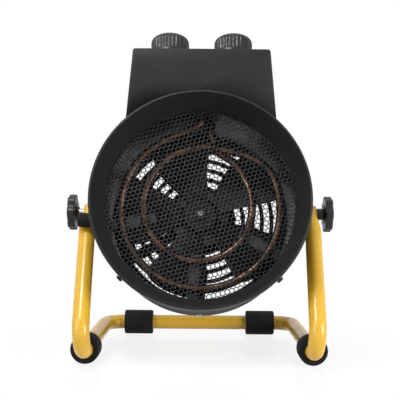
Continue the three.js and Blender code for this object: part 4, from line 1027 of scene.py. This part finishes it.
studio = {
    "ambient": 0.34, "floorKeep": 0.8, "fadeFrom": 0.05, "fadeTo": 0.3, "floorHalf": 6.0, "floorDrop": 0.0003,
    "aimHeight": 0.16,
    "lamps": {
        "leftBank": {"at": (-1.15, -0.95, 0.7), "size": (0.7, 1.2), "watts": 12.5},
        "besideBox": {"at": (-0.2, -0.32, 0.62), "size": (0.15, 0.15), "watts": 2.6},
        "rightBank": {"at": (1.15, -0.75, 0.55), "size": (0.3, 1.1), "watts": 2.0},
        "overhead": {"at": (-0.1, 0.3, 1.7), "size": (1.4, 1.0), "watts": 3.0},
        "intoFunnel": {"at": (0.8, -0.5, 0.2), "size": (0.3, 0.3), "watts": 6.5},
    },
}


def makeStudio():
    world = bpy.data.worlds.new("studio")
    bpy.context.scene.world = world
    world.use_nodes = True
    tree = world.node_tree
    tree.nodes.clear()
    path = addNode(tree, "ShaderNodeLightPath")
    seen = addNode(tree, "ShaderNodeMath", {"operation": "MAXIMUM"},
                   {0: path.outputs["Is Camera Ray"], 1: path.outputs["Is Transmission Ray"]})
    shown = addNode(tree, "ShaderNodeMath", {"operation": "MAXIMUM"},
                    {0: seen.outputs[0], 1: path.outputs["Is Glossy Ray"]})
    light = addNode(tree, "ShaderNodeBackground", None,
                    {"Color": (1, 1, 1, 1), "Strength": studio["ambient"]})
    white = addNode(tree, "ShaderNodeBackground", None, {"Color": (1, 1, 1, 1), "Strength": 1.0})
    mix = addNode(tree, "ShaderNodeMixShader", None,
                  {0: shown.outputs[0], 1: light.outputs[0], 2: white.outputs[0]})
    addNode(tree, "ShaderNodeOutputWorld", None, {"Surface": mix.outputs[0]})

    for name, lamp in studio["lamps"].items():
        data = bpy.data.lights.new(name, "AREA")
        data.shape, data.size, data.size_y = "RECTANGLE", lamp["size"][0], lamp["size"][1]
        data.energy = lamp["watts"]
        item = bpy.data.objects.new(name, data)
        bpy.context.scene.collection.objects.link(item)
        item.location = lamp["at"]
        aim = Vector((0, 0, studio["aimHeight"])) - Vector(lamp["at"])
        item.rotation_mode = "QUATERNION"
        item.rotation_quaternion = aim.to_track_quat("-Z", "Y")

    mesh = bpy.data.meshes.new("floor")
    half = studio["floorHalf"]
    mesh.from_pydata([(-half, -half, 0), (half, -half, 0), (half, half, 0), (-half, half, 0)], [],
                     [(0, 1, 2, 3)])
    floor = bpy.data.objects.new("floor", mesh)
    bpy.context.scene.collection.objects.link(floor)
    floor.location = (0, 0, -studio["floorDrop"])
    material, tree, spot = startMaterial("paleFloor")
    path = addNode(tree, "ShaderNodeLightPath")
    reach = addNode(tree, "ShaderNodeVectorMath", {"operation": "LENGTH"}, {0: spot})
    fade = addNode(tree, "ShaderNodeMapRange", {"interpolation_type": "SMOOTHSTEP"},
                   {"Value": reach.outputs["Value"], "From Min": studio["fadeFrom"],
                    "From Max": studio["fadeTo"], "To Min": studio["floorKeep"], "To Max": 1.0})
    seen = addNode(tree, "ShaderNodeMath", {"operation": "MAXIMUM"},
                   {0: path.outputs["Is Camera Ray"], 1: path.outputs["Is Glossy Ray"]})
    amount = addNode(tree, "ShaderNodeMath", {"operation": "MULTIPLY"},
                     {0: fade.outputs["Result"], 1: seen.outputs[0]})
    paint = addNode(tree, "ShaderNodeBsdfPrincipled", None,
                    {"Base Color": linear("#f4f4f4"), "Roughness": 0.12, "IOR": 1.5})
    glow = addNode(tree, "ShaderNodeEmission", None, {"Color": (1, 1, 1, 1), "Strength": 1.0})
    mix = addNode(tree, "ShaderNodeMixShader", None,
                  {0: amount.outputs[0], 1: paint.outputs["BSDF"], 2: glow.outputs[0]})
    addNode(tree, "ShaderNodeOutputMaterial", None, {"Surface": mix.outputs[0]})
    mesh.materials.append(material)
    bpy.context.scene.view_settings.view_transform = "Standard"


makeStudio()
print("studio lit")
